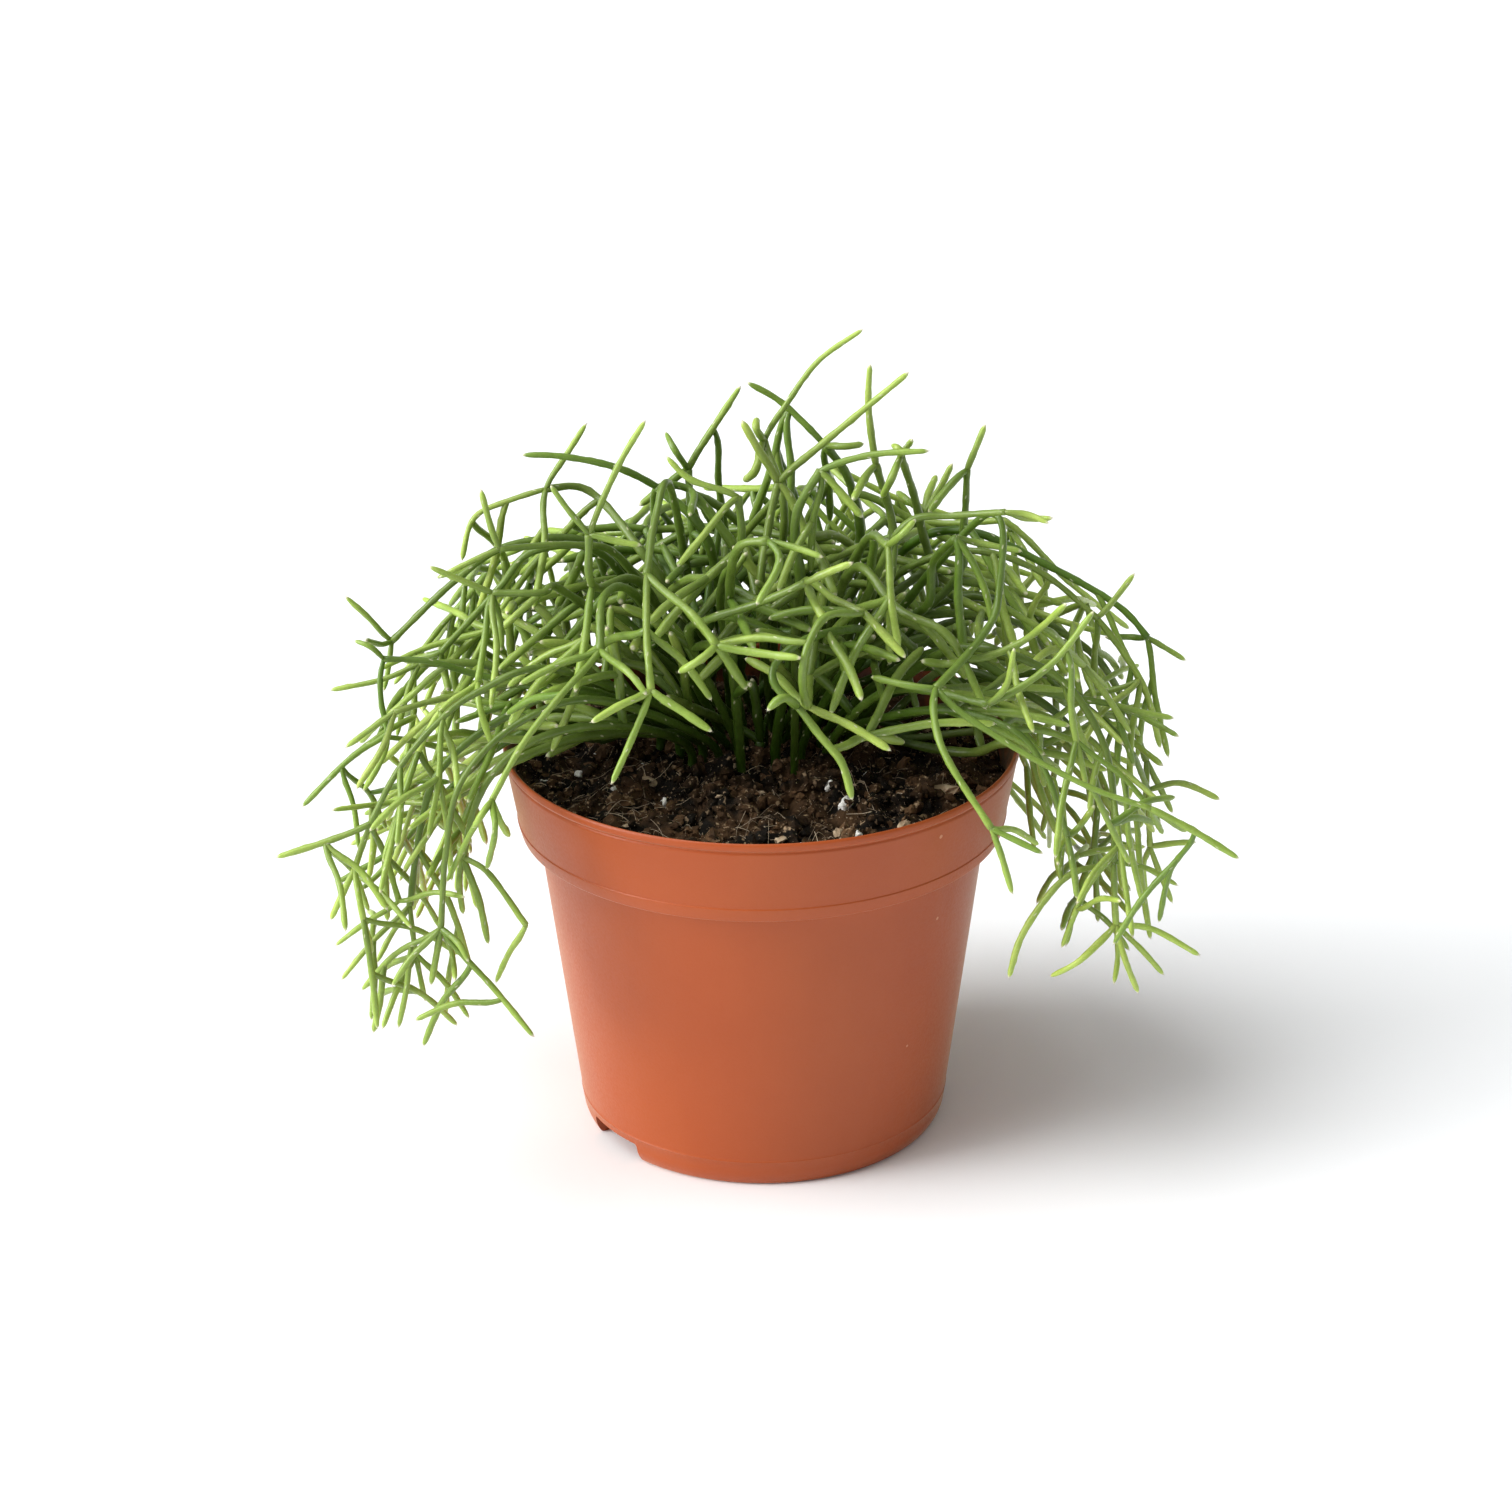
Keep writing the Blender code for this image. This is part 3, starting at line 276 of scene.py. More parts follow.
# The sprays at the back, which the reference view hides: the same habit, each to its own bearing
BACK_BEARINGS = (28, 50, 78, 104, 130, 158)
BACK_REACH = (62, 80)
BACK_CREST = (118, 136)
BACK_DROP = (20, 78)
BACK_ARCH = (0.28, 0.58)
BACK_ARCH_RISE = 22
BACK_SHOOT = (0.7, 0.8)
BACK_SHOOT_SWING = 24
BACK_SHOOT_RISE = (-4, 6)
BACK_SWING = 8
BACK_TIP_LENGTH = (24, 38)
BACK_LOW_TIPS = (4, 40, (5, 75))
BACK_HIGH_TIPS = (2, 60, (-5, 35))
BACK_OUTLINE = (97.0, 68.0)

# Side shoots fill the dome that the sprays make and the curtains that hang at its two sides
SIDE_ROUNDS = 1
FINE_ROUNDS = 2
FINE_ROOM = 2.1
SIDE_LENGTH = (17, 32)
SIDE_TRIES = 60
SIDE_LEANINGS = (0.65, 0.95, 0.2, 0.08)
LONG_HOST = 22
ROOTED_PLACES = 5
PEAT_PLACES = 3
DOME = (96.0, 88.0, 58.0)
DOME_FOOT = 86.0
CURTAIN_ACROSS = (64.0, 92.0)
CURTAIN_DEPTH = (-62.0, 30.0)
CURTAIN_HEIGHT = (44.0, 100.0)
BARE_PEAT_ACROSS = 60.0
BARE_PEAT_LEVEL = 97.0
BARE_PEAT_DIP = (15.0, 40.0, 8.0)
# Below this level the finest shoots leave the dim space between the trunks open
OPEN_ACROSS = 45.0
OPEN_LEVEL = 112.0

# Stage: a wide floor, an even surround, and lights with their bearing, height and breadth in degrees and
# their strength
FLOOR_HALF = 80000.0
AMBIENT = 0.33
LIGHTS = {
    "key": (193, 60, 46, 2.15),
    "window": (194, 20, 34, 3.20),
    "overhead": (0, 88, 60, 0.30),
}
NEAREST_SEEN = 0.01
FURTHEST_SEEN = 400.0

# The sprays that the reference view shows, nearest first, so that those furthest back are bent the most. A
# stem is a list: first the places that it passes, each (across, down, depth), which are pixels of that view
# and how many millimetres behind the pot's axis the place is, then the stems that fork from its end.
SPRAYS = {
    "front_star": [(672, 492, -8), (655, 520, -22), (647, 574, -34),
        [(645, 640, -46), (651, 690, -53), [(592, 722, -60)], [(612, 783, -62)], [(711, 731, -58)]],
        [(690, 615, -43), (716, 645, -48), [(800, 658, -53)], [(679, 672, -50)]]],
    "front_left": [(640, 600, -18), (604, 596, -34), (600, 650, -45),
        [(560, 695, -54), (522, 745, -60), (492, 800, -64),
            [(474, 827, -65)], [(509, 836, -63)], [(498, 832, -66), (487, 868, -67)]],
        [(560, 664, -48), (520, 684, -50)], [(628, 672, -54), (646, 694, -58)]],
    "front_loop": [(800, 590, -20), (835, 600, -36), (864, 613, -42),
        [(905, 657, -48)],
        [(822, 626, -46), (805, 655, -49), (803, 690, -52), (808, 706, -53),
            [(850, 722, -56), (890, 750, -60)]]],
    "front_curl": [(860, 640, -22), (845, 630, -32), (800, 642, -44), (772, 668, -48), (777, 689, -50),
        (797, 706, -52),
        [(822, 738, -56), (842, 762, -58), (852, 799, -60)], [(783, 699, -54), (768, 710, -55)]],
    "front_right": [(985, 560, -14), (1003, 592, -24), (975, 645, -38), (936, 688, -47),
        [(905, 684, -46), (872, 677, -42)],
        [(932, 712, -53), (945, 755, -61), (991, 828, -69), [(1042, 853, -72)], [(1012, 893, -71)]],
        [(1004, 739, -54), (1089, 787, -60), (1150, 808, -62), [(1238, 858, -64)], [(1186, 831, -59)]]],
    "cross_right": [(850, 575, -18), (905, 606, -32), (948, 630, -36), (964, 660, -39),
        [(985, 708, -43)], [(1012, 643, -42), (1066, 604, -44)], [(922, 661, -36)]],
    "right_fan": [(890, 690, -30), (988, 704, -46),
        [(1006, 688, -48), (1014, 649, -50)], [(1045, 666, -48), (1093, 612, -48)]],
    "left_crown": [(575, 585, -12), (540, 592, -20), (493, 593, -26),
        [(430, 567, -28)],
        [(484, 640, -32), (478, 682, -36),
            [(440, 712, -38), (402, 790, -40)], [(491, 705, -39), (491, 744, -40)]],
        [(501, 650, -30)]],
    "left_bar": [(560, 690, -16), (474, 674, -22), (430, 664, -24), (384, 659, -26),
        [(355, 641, -28)],
        [(381, 695, -28), (388, 733, -29),
            [(350, 756, -30), (303, 806, -31)], [(384, 756, -30), (364, 790, -31)]]],
    "left_reach": [(600, 545, 4), (520, 548, 2), (459, 585, 0), (392, 641, -2),
        [(346, 597, -3)], [(366, 640, -6)], [(384, 690, -7)]],
    "left_light": [(545, 680, -6), (480, 664, -10), (420, 664, -13),
        [(383, 681, -15), (331, 690, -16)], [(405, 700, -15), (397, 736, -16)]],
    "left_mid": [(560, 690, -26), (478, 692, -32), (430, 700, -34), (395, 712, -36),
        [(346, 747, -38)], [(385, 745, -37), (357, 788, -38)]],
    "left_tail": [(560, 670, -36), (478, 692, -43), (430, 730, -46), (395, 775, -47), (371, 823, -48),
        [(277, 857, -50)], [(355, 868, -49), [(331, 919, -50)], [(362, 915, -48), (372, 952, -48)]],
        [(386, 852, -50), (399, 901, -50), [(336, 945, -52)]]],
    "left_fall_a": [(580, 690, -30), (500, 720, -38), (440, 770, -42), (420, 830, -44), (410, 905, -45),
        [(342, 979, -48)], [(377, 962, -44)], [(425, 1000, -46)]],
    "left_fall_b": [(600, 700, -40), (520, 722, -50), (462, 780, -56), (446, 850, -57), (441, 928, -58),
        [(431, 984, -58)], [(455, 980, -56)], [(468, 961, -61)], [(495, 985, -63), (533, 1036, -67)]],
    "left_fall_c": [(610, 725, -32), (530, 742, -43), (482, 790, -48), (463, 857, -49),
        [(478, 895, -50), (488, 943, -50)], [(487, 870, -52), (526, 925, -56), [(496, 982, -56)]],
        [(463, 913, -46)]],
    "left_fall_d": [(570, 720, -14), (500, 745, -20), (440, 800, -24), (400, 846, -26),
        [(336, 883, -28)], [(362, 889, -26)]],
    "left_rim": [(620, 742, -24), (515, 755, -34), (450, 802, -41),
        [(390, 805, -43), (333, 810, -44)], [(471, 843, -42)], [(425, 840, -44), (404, 870, -45)]],
    "low_left": [(640, 735, -4), (600, 740, -8),
        [(560, 748, -10), (515, 751, -14), (480, 772, -18), (446, 815, -20)],
        [(560, 733, -4), (505, 738, -5), (455, 772, -6)], [(585, 716, -2), (530, 714, 0), (478, 738, 2)]],
    "low_right": [(850, 738, -4), (895, 738, -6),
        [(960, 733, -4), (1040, 727, -2), (1086, 762, 0)],
        [(950, 715, 2), (1010, 706, 4), (1062, 722, 6)],
        [(965, 750, -12), (1010, 742, -16), (1060, 770, -18)]],
    "low_fork": [(760, 742, -4),
        [(830, 735, -10), (878, 711, -14)], [(712, 738, -8), (667, 697, -10)], [(752, 679, -6)]],
    "top_sail": [(790, 620, 4), (776, 510, 6), (764, 441, 8),
        [(786, 400, 8), (818, 361, 8), (862, 330, 8)], [(757, 419, 5)], [(745, 480, 2)]],
    "top_lance": [(760, 600, -8), (768, 530, -4), (778, 483, -2),
        [(823, 441, -2), (908, 373, -4)], [(742, 421, -3)]],
    "top_needle": [(880, 610, -12), (888, 530, -8), (876, 465, -8),
        [(867, 410, -8), (870, 365, -8)], [(853, 500, -12)]],
    "top_step": [(800, 600, -14), (795, 520, -16), (820, 471, -18),
        [(870, 457, -20), (928, 451, -22)], [(838, 490, -20), (862, 517, -22)]],
    "top_tuft": [(940, 620, -12), (920, 520, -14), (901, 456, -14),
        [(892, 445, -14)], [(912, 440, -12)], [(882, 497, -16)]],
    "top_mast": [(950, 610, 2), (966, 530, 4), (967, 470, 4),
        [(985, 425, 4)], [(945, 490, 0), (929, 512, -2)]],
    "top_arc": [(870, 580, -18), (905, 528, -24), (950, 520, -26), (1005, 512, -28),
        [(1048, 523, -30)], [(1052, 518, -24)]],
    "mid_bough": [(690, 640, -20), (705, 621, -30), (757, 604, -36), (805, 583, -41),
        [(852, 563, -45)], [(826, 622, -44)]],
    "mid_bridge": [(730, 620, -20), (736, 550, -32), (768, 541, -37),
        [(822, 557, -43)], [(782, 560, -42), (757, 604, -46)]],
    "mid_post": [(870, 570, -14), (888, 545, -24),
        [(893, 600, -31), (899, 648, -35)], [(915, 520, -28)]],
    "mid_right": [(900, 640, -12), (928, 606, -24), (936, 570, -28), (956, 538, -30),
        [(985, 585, -33), (993, 625, -35)], [(975, 538, -30), (1021, 551, -30)]],
    "mid_drop": [(720, 600, -10), (741, 545, -18), (738, 497, -20),
        [(705, 535, -26), (678, 566, -29)], [(690, 478, -18), (667, 457, -17)]],
    "spear": [(655, 610, -14), (596, 590, -26), (589, 535, -28),
        [(622, 468, -24), (645, 421, -22)], [(551, 486, -29)], [(640, 545, -30)]],
    "high_arc": [(690, 560, 2), (657, 487, 0),
        [(617, 467, -4), (560, 456, -7), (523, 455, -8)], [(690, 515, -8)]],
    "high_hook": [(650, 560, 12), (600, 498, 12), (546, 489, 12),
        [(505, 501, 12), (473, 518, 12), (462, 560, 10)], [(586, 424, 14)]],
    "high_bar": [(640, 575, -10), (580, 548, -16), (500, 549, -18),
        [(440, 577, -20)], [(481, 490, -16)]],
    "high_drop": [(600, 560, -4), (530, 552, -6), (500, 590, -8), (441, 652, -10),
        [(405, 662, -11)], [(448, 690, -12)]],
    "far_left": [(700, 580, 22), (688, 470, 24), [(740, 387, 26)], [(666, 433, 24)], [(640, 505, 20)]],
    "far_cross": [(870, 590, 16), (850, 490, 20), (826, 446, 22),
        [(782, 402, 24), (748, 383, 24)], [(863, 444, 20)]],
    "far_pin": [(900, 600, 6), (924, 515, 8), [(952, 464, 8)], [(936, 476, 12)], [(897, 492, 12)]],
    "right_arc_a": [(900, 590, 14), (960, 538, 10), (1048, 560, 4), (1117, 598, 0), (1147, 637, -2),
        [(1185, 660, -3)], [(1106, 637, 0)]],
    "right_arc_b": [(900, 600, 2), (960, 546, -4), (1035, 562, -8), (1097, 618, -12),
        [(1134, 574, -10)], [(1140, 685, -15), (1160, 747, -17)]],
    "right_mid": [(930, 680, -14), (1030, 690, -20), (1112, 704, -24),
        [(1173, 718, -25)], [(1178, 736, -23)], [(1134, 765, -26)]],
    "right_fall_a": [(950, 650, -26), (1050, 672, -34), (1100, 735, -38), (1114, 800, -40),
        (1114, 861, -41),
        [(1145, 866, -42), (1177, 885, -43)], [(1068, 876, -43), (1024, 931, -46), (1009, 977, -48)],
        [(1116, 924, -42),
            [(1150, 927, -43), (1199, 955, -45)], [(1163, 974, -42)], [(1138, 992, -45)],
            [(1114, 983, -44)], [(1073, 967, -42)], [(1051, 976, -45)]]],
    "right_fall_b": [(950, 670, -8), (1060, 668, -12), (1125, 725, -14), (1148, 790, -16),
        [(1180, 783, -17), (1219, 799, -18)],
        [(1150, 846, -17), [(1195, 842, -18)], [(1172, 902, -18)], [(1146, 892, -16)]]],
    "right_fall_c": [(930, 710, -30), (1010, 728, -42), (1044, 768, -46), (1067, 836, -48),
        [(1077, 898, -49)], [(1058, 864, -46)], [(1094, 806, -47)]],
    "right_fall_d": [(940, 700, 4), (1040, 700, 2), (1088, 770, 0), (1094, 850, -1),
        [(1098, 921, -2)], [(1075, 846, 2)], [(1130, 890, 3)]],
    "right_edge": [(960, 640, 10), (1080, 640, 8), (1120, 690, 6), (1146, 760, 4),
        [(1172, 812, 4)], [(1140, 827, 2)]],
    "right_back": [(960, 620, 24), (1040, 640, 28), (1060, 740, 30),
        [(1042, 832, 30)], [(1090, 700, 32)]],
}


def eye():
    return np.array((EYE_ACROSS, -EYE_DISTANCE, EYE_HEIGHT))


def sighted(across, down, depth):
    """The place seen at this pixel, depth millimetres behind the pot's axis."""
    right, below = across - FRAME_CENTRE, down - FRAME_CENTRE
    level_right = right * math.cos(EYE_ROLL) + below * math.sin(EYE_ROLL)
    level_below = below * math.cos(EYE_ROLL) - right * math.sin(EYE_ROLL)
    sine, cosine = math.sin(EYE_PITCH), math.cos(EYE_PITCH)
    ray = np.array((
        level_right / EYE_FOCAL,
        cosine - level_below / EYE_FOCAL * sine,
        -sine - level_below / EYE_FOCAL * cosine,
    ))
    return eye() + ray * (depth + EYE_DISTANCE) / ray[1]


def shown_level(place):
    """The height on the pot's axis that the place hides or shows at in the reference view."""
    return place[2] + place[1] * math.tan(EYE_PITCH)


def along_sight(place, shift):
    """The place moved this much further from the eye, so that it looks the same from there."""
    return eye() + (place - eye()) * (place[1] + shift + EYE_DISTANCE) / (place[1] + EYE_DISTANCE)


def peat_height(x, y):
    """Height of the peat's uneven surface."""
    near = np.maximum(0.0, 1 - (x * x + y * y) / RIM_INNER_RADIUS**2)
    waves = np.sin(x * 0.21 + 1.1) * np.cos(y * 0.17 - 0.4) + 0.6 * np.sin(x * 0.08 - y * 0.33)
    return PEAT_EDGE_HEIGHT + PEAT_MOUND * near + PEAT_ROUGHNESS * waves * near


def unit(vector):
    return vector / math.sqrt(float(vector @ vector))


def round_axis(radius, angle, height):
    """The place this far from the pot's axis, at this bearing and height."""
    return np.array((radius * math.cos(angle), radius * math.sin(angle), height))


def length_of(line):
    return float(np.linalg.norm(np.diff(line, axis=0), axis=1).sum())


def distance(start, end):
    return length_of(np.array([start, end]))


def share_of(value, low, high):
    """How far the value is on its way from low to high, from 0 to 1."""
    return min(1.0, max(0.0, (value - low) / (high - low)))


def run_along(line):
    """How far along the line each of its places is."""
    return np.concatenate([[0.0], np.cumsum(np.linalg.norm(np.diff(line, axis=0), axis=1))])


def places_at(stops, run, line):
    """The places at these stops of the line."""
    return np.stack([np.interp(stops, run, line[:, axis]) for axis in range(3)], axis=1)


def curve_through(before, places):
    """Fine points on a Catmull-Rom curve through the places. It would have come from before."""
    known = [before, *places, places[-1] * 1.5 - places[-2] * 0.5]
    t = (np.arange(1, CURVE_STEPS + 1) / CURVE_STEPS)[:, None]
    pieces = [places[0][None]]
    for a, b, c, d in zip(known, known[1:], known[2:], known[3:]):
        bend = (2 * a - 5 * b + 4 * c - d) * t**2 + (3 * b - a - 3 * c + d) * t**3
        pieces.append(0.5 * (2 * b + (c - a) * t + bend))
    return np.concatenate(pieces)


def evenly(fine, spans):
    """The same curve as a number of spans of equal length."""
    run = run_along(fine)
    return places_at(np.linspace(0.0, run[-1], spans + 1), run, fine)


def span_gaps(line, starts, ends):
    """The least distance of each span of the line from each of these spans."""
    first, along = line[:-1, None, :], np.diff(line, axis=0)[:, None, :]
    other, across = starts[None], (ends - starts)[None]
    between = first - other
    a, e, b = (along * along).sum(-1), (across * across).sum(-1), (along * across).sum(-1)
    c, f = (along * between).sum(-1), (across * between).sum(-1)
    s = np.clip((b * f - c * e) / np.maximum(a * e - b * b, 1e-9), 0, 1)
    t = np.clip((b * s + f) / np.maximum(e, 1e-9), 0, 1)
    s = np.clip((b * t - c) / np.maximum(a, 1e-9), 0, 1)
    apart = between + s[..., None] * along - t[..., None] * across
    return np.sqrt((apart * apart).sum(-1))


class Thicket:
    """The stems that are already placed, so that the next one is bent clear of them, the room that it has
    to keep, and the level below which shoots leave the middle open."""

    def __init__(self):
        self.starts = np.empty((0, 3))
        self.ends = np.empty((0, 3))
        self.owners = np.empty(0, int)
        self.room = STEM_ROOM
        self.open_level = 0.0

    def add(self, line, owner):
        self.starts = np.concatenate([self.starts, line[:-1]])
        self.ends = np.concatenate([self.ends, line[1:]])
        self.owners = np.concatenate([self.owners, np.full(len(line) - 1, owner)])

    def crowding(self, line, owner):
        """How much the line lacks of its clearance from other sprays, and past its joint from its own."""
        needed = self.room
        middle, reach = (line.min(0) + line.max(0)) / 2, (line.max(0) - line.min(0)) / 2 + needed
        low, high = np.minimum(self.starts, self.ends), np.maximum(self.starts, self.ends)
        near = ((low < middle + reach) & (high > middle - reach)).all(axis=1)
        past_joint = np.concatenate([[line[0] + (line[1] - line[0]) * JOINT_SHARE], line[1:]])
        lacks = []
        for mask, part in ((self.owners != owner, line), (self.owners == owner, past_joint)):
            mask = mask & near
            gaps = span_gaps(part, self.starts[mask], self.ends[mask]) if mask.any() else np.array([needed])
            lacks.append(float(np.maximum(needed - gaps, 0).sum()))
        return lacks


def trespass(line, rooted):
    """How far in all a line reaches into the pot, the peat or what the pot stands on."""
    fine = evenly(line, max(4, int(length_of(line) / TRESPASS_STEP)))
    if rooted:
        fine = fine[int(ROOT_DEPTH / TRESPASS_STEP) + 2:]
    reach = STEM_REACH
    x, y, z = fine.T
    radius = np.hypot(x, y)
    over_rim = POT_HEIGHT + reach - z
    outside = RIM_RADIUS + reach - radius
    inside = np.maximum(radius - (COLLAR_CREASE_RADIUS - WALL - reach), peat_height(x, y) + reach - z)
    depth = np.minimum(np.minimum(over_rim, outside), inside)
    return float(np.maximum(depth, 0).sum() + np.maximum(reach - z, 0).sum())


def stem_radius(place):
    """Stems are thickest over the pot's middle and slimmest at the plant's outer reach."""
    share = share_of(distance((0.0, 0.0, POT_HEIGHT), place), *THINNING)
    return STEM_RADIUS + (THIN_STEM_RADIUS - STEM_RADIUS) * share


def spans_for(length):
    return max(2, round(length / (LONG_SPAN if length > LONG_STEM else SHORT_SPAN)))


def bent_line(start, heading, places, rooted):
    """The fine curve from start through the places, and the plain line of long spans that lies along it."""
    if rooted:
        places = [start + (0, 0, ROOT_LEAVES), *places]
    places = [start, *places]
    before = start - unit(heading + unit(places[1] - start)) * distance(*places[:2])
    fine = curve_through(before, places)
    line = evenly(fine, spans_for(length_of(fine)))
    if rooted:
        line = np.concatenate([[start, start + (0, 0, ROOT_STRAIGHT)], line[1:]])
    return fine, line


def place_limb(thicket, owner, places, start, heading, shift, rng, rooted=False):
    """The limb's fine curve and plain line, bent clear of what is there, and its end's shift."""
    wanted = [along_sight(place, shift) for place in places]
    if len(wanted) == 1:
        wanted.insert(0, start + (wanted[0] - start) / 2)
    shifts, strays = np.zeros(len(wanted)), np.zeros((len(wanted), 3))
    if not rooted:
        strays[0] = [rng.uniform(-BEND, BEND) * distance(start, wanted[0]) for _ in range(3)]
    straight, least = (shifts, strays), None
    for attempt in range(TRIES):
        new_shifts, new_strays = shifts.copy(), strays.copy()
        if attempt and attempt % FRESH_START == 0:
            least, new_strays = None, straight[1].copy()
            new_shifts = straight[0] + rng.gauss(0, FRESH_SHIFT)
            new_shifts += [rng.gauss(0, FRESH_SHIFT / 2) for _ in wanted]
        elif attempt:
            new_shifts += [rng.gauss(0, SHIFT_STEP) for _ in wanted]
            new_strays[0] += [rng.gauss(0, SHIFT_STEP if rooted else FORK_STEP) for _ in range(3)]
            for middle in range(1, len(wanted) - 1 if rooted else 1):
                new_strays[middle] += [rng.gauss(0, MIDDLE_STEP) for _ in range(3)]
        moved = [along_sight(place, more) for place, more in zip(wanted, new_shifts)]
        fine, line = bent_line(start, heading, list(np.array(moved) + new_strays), rooted)
        others, own = thicket.crowding(line, owner)
        others += trespass(line, rooted)
        if others == 0 and (own == 0 or attempt > TRIES / 2):
            thicket.add(line, owner)
            return fine, line, shift + float(new_shifts[-1])
        if least is None or others + own / 3 < least:
            least, shifts, strays = others + own / 3, new_shifts, new_strays
    return None


def planned(stem):
    """The plan of a listed stem: its places in space, and the plans of the stems that fork from it."""
    return {
        "places": [sighted(*part) for part in stem if isinstance(part, tuple)],
        "grows": [planned(part) for part in stem if isinstance(part, list)],
    }


def drooped(place):
    """The place let down as far as the plant's rounded outline in the reference view."""
    x, y, z = place
    across, height = BACK_OUTLINE
    crown = POT_HEIGHT + height * math.sqrt(max(0.0, 1 - (x / across)**2))
    return np.array((x, y, min(z, crown - y * math.tan(EYE_PITCH))))


def back_plan(bearing, rng):
    """A spray at the back: up, over the rim and down at this bearing to a fork of branchlets, with two
    shoots that stay high on either side."""
    turned_to = math.radians(bearing)
    reach, crest = rng.uniform(*BACK_REACH), rng.uniform(*BACK_CREST)

    def at(radius, height, swing=0.0):
        return round_axis(radius, turned_to + math.radians(swing), height)

    def tips_from(fork, count, spread, dips):
        tips = []
        for number in range(count):
            swing = (number - (count - 1) / 2) * spread + rng.uniform(-BACK_SWING, BACK_SWING)
            length = rng.uniform(*BACK_TIP_LENGTH)
            dip = math.radians(rng.uniform(*dips))
            tip = fork + at(1, 0, swing) * length * math.cos(dip) - (0, 0, length * math.sin(dip))
            tips.append({"places": [drooped(tip)], "grows": []})
        return tips

    low = at(reach, crest - rng.uniform(*BACK_DROP), rng.uniform(-BACK_SWING, BACK_SWING))
    grows = [{"places": [low], "grows": tips_from(low, *BACK_LOW_TIPS)}]
    for side in (1, -1):
        middle = at(reach * BACK_SHOOT[0], crest, side * BACK_SHOOT_SWING / 2)
        high = at(reach * BACK_SHOOT[1], crest + rng.uniform(*BACK_SHOOT_RISE), side * BACK_SHOOT_SWING)
        grows.append({"places": [middle, high], "grows": tips_from(high, *BACK_HIGH_TIPS)})
    first, over = BACK_ARCH
    return {"places": [at(reach * first, crest - BACK_ARCH_RISE), at(reach * over, crest)], "grows": grows}


def root_places(count):
    """Where stems root: an even spiral over the peat's middle, a little towards the back."""
    radii = [ROOT_DISC_RADIUS * math.sqrt((number + 0.5) / count) for number in range(count)]
    middle = (0.0, ROOT_DISC_BACK, 0.0)
    return [round_axis(radius, number * GOLDEN_ANGLE, 0.0) + middle for number, radius in enumerate(radii)]


def nearest_roots(roots, towards):
    """The free roots that lie most in a stem's own direction, the nearest first."""
    flat = np.array((towards[0], towards[1], 0.0))
    wanted = flat * min(1.0, ROOT_LEAN * ROOT_DISC_RADIUS / max(1.0, float(np.linalg.norm(flat))))
    wanted = wanted + (0.0, ROOT_DISC_BACK, 0.0)
    order = sorted(range(len(roots)), key=lambda number: float(np.linalg.norm(roots[number] - wanted)))
    return order[:ROOT_TRIES]


def place_rooted(thicket, owner, plan, roots, rng):
    """The spray's first stem, from the nearest root that it finds a clear way from."""
    for number in nearest_roots(roots, plan["places"][0]):
        root = roots[number].copy()
        root[2] = peat_height(root[0], root[1]) - ROOT_DEPTH
        placed = place_limb(thicket, owner, plan["places"], root, np.array((0.0, 0.0, 1.0)), 0.0, rng, True)
        if placed:
            roots.pop(number)
            return placed
    return None


def fills(place):
    """Whether a side shoot may reach here: inside the dome, or in a curtain beside the pot, and not over
    the peat that lies bare at the front."""
    x, y, z = place
    start, end, dip = BARE_PEAT_DIP
    level = BARE_PEAT_LEVEL - dip * share_of(abs(x), start, end)
    if abs(x) < BARE_PEAT_ACROSS and shown_level(place) < level:
        return False
    across, depth, height = DOME
    if z > DOME_FOOT and (x / across)**2 + (y / depth)**2 + ((z - DOME_FOOT) / height)**2 < 1:
        return True
    beside = CURTAIN_ACROSS[0] < abs(x) < CURTAIN_ACROSS[1] and CURTAIN_DEPTH[0] < y < CURTAIN_DEPTH[1]
    return beside and CURTAIN_HEIGHT[0] < z < CURTAIN_HEIGHT[1]


def side_shoot(thicket, owner, host, rng):
    """A branchlet from a joint along the host, leaning outwards and down, or None for want of room."""
    _, line, is_tip = host
    first = 1 if len(line) < ROOTED_PLACES else PEAT_PLACES
    joint = rng.randrange(first, len(line) - 1 if is_tip else len(line))
    heading = unit(line[joint] - line[joint - 1])
    for _ in range(SIDE_TRIES):
        sideways = unit(np.array([rng.gauss(0, 1) for _ in range(3)]))
        outward = unit(line[joint] * (1, 1, 0) + (0.01, 0, 0))
        onwards, aside, out, down = SIDE_LEANINGS
        towards = unit(heading * onwards + sideways * aside + outward * out - (0, 0, down))
        length = rng.uniform(*SIDE_LENGTH)
        tip = line[joint] + towards * length
        middle = line[joint] + towards * length / 2 + sideways * BEND * length + (0, 0, BEND * length)
        fine, plain = bent_line(line[joint], heading, [middle, tip], False)
        wanted = fills(tip) and (abs(tip[0]) > OPEN_ACROSS or shown_level(tip) > thicket.open_level)
        if wanted and trespass(plain, False) == 0 and sum(thicket.crowding(plain, owner)) == 0:
            thicket.add(plain, owner)
            return fine, plain, True
    return None


def add_side_shoots(thicket, grown, rounds):
    """Grows one more branchlet from each stem of each spray in every round."""
    for round_number in rounds:
        for owner, (name, limbs) in enumerate(grown.items()):
            rng = random.Random(f"rice cactus {name} side {round_number}")
            hosts = [host for host in limbs if length_of(host[1]) > LONG_HOST]
            found = [side_shoot(thicket, owner, host, rng) for host in hosts]
            limbs += [shoot for shoot in found if shoot]


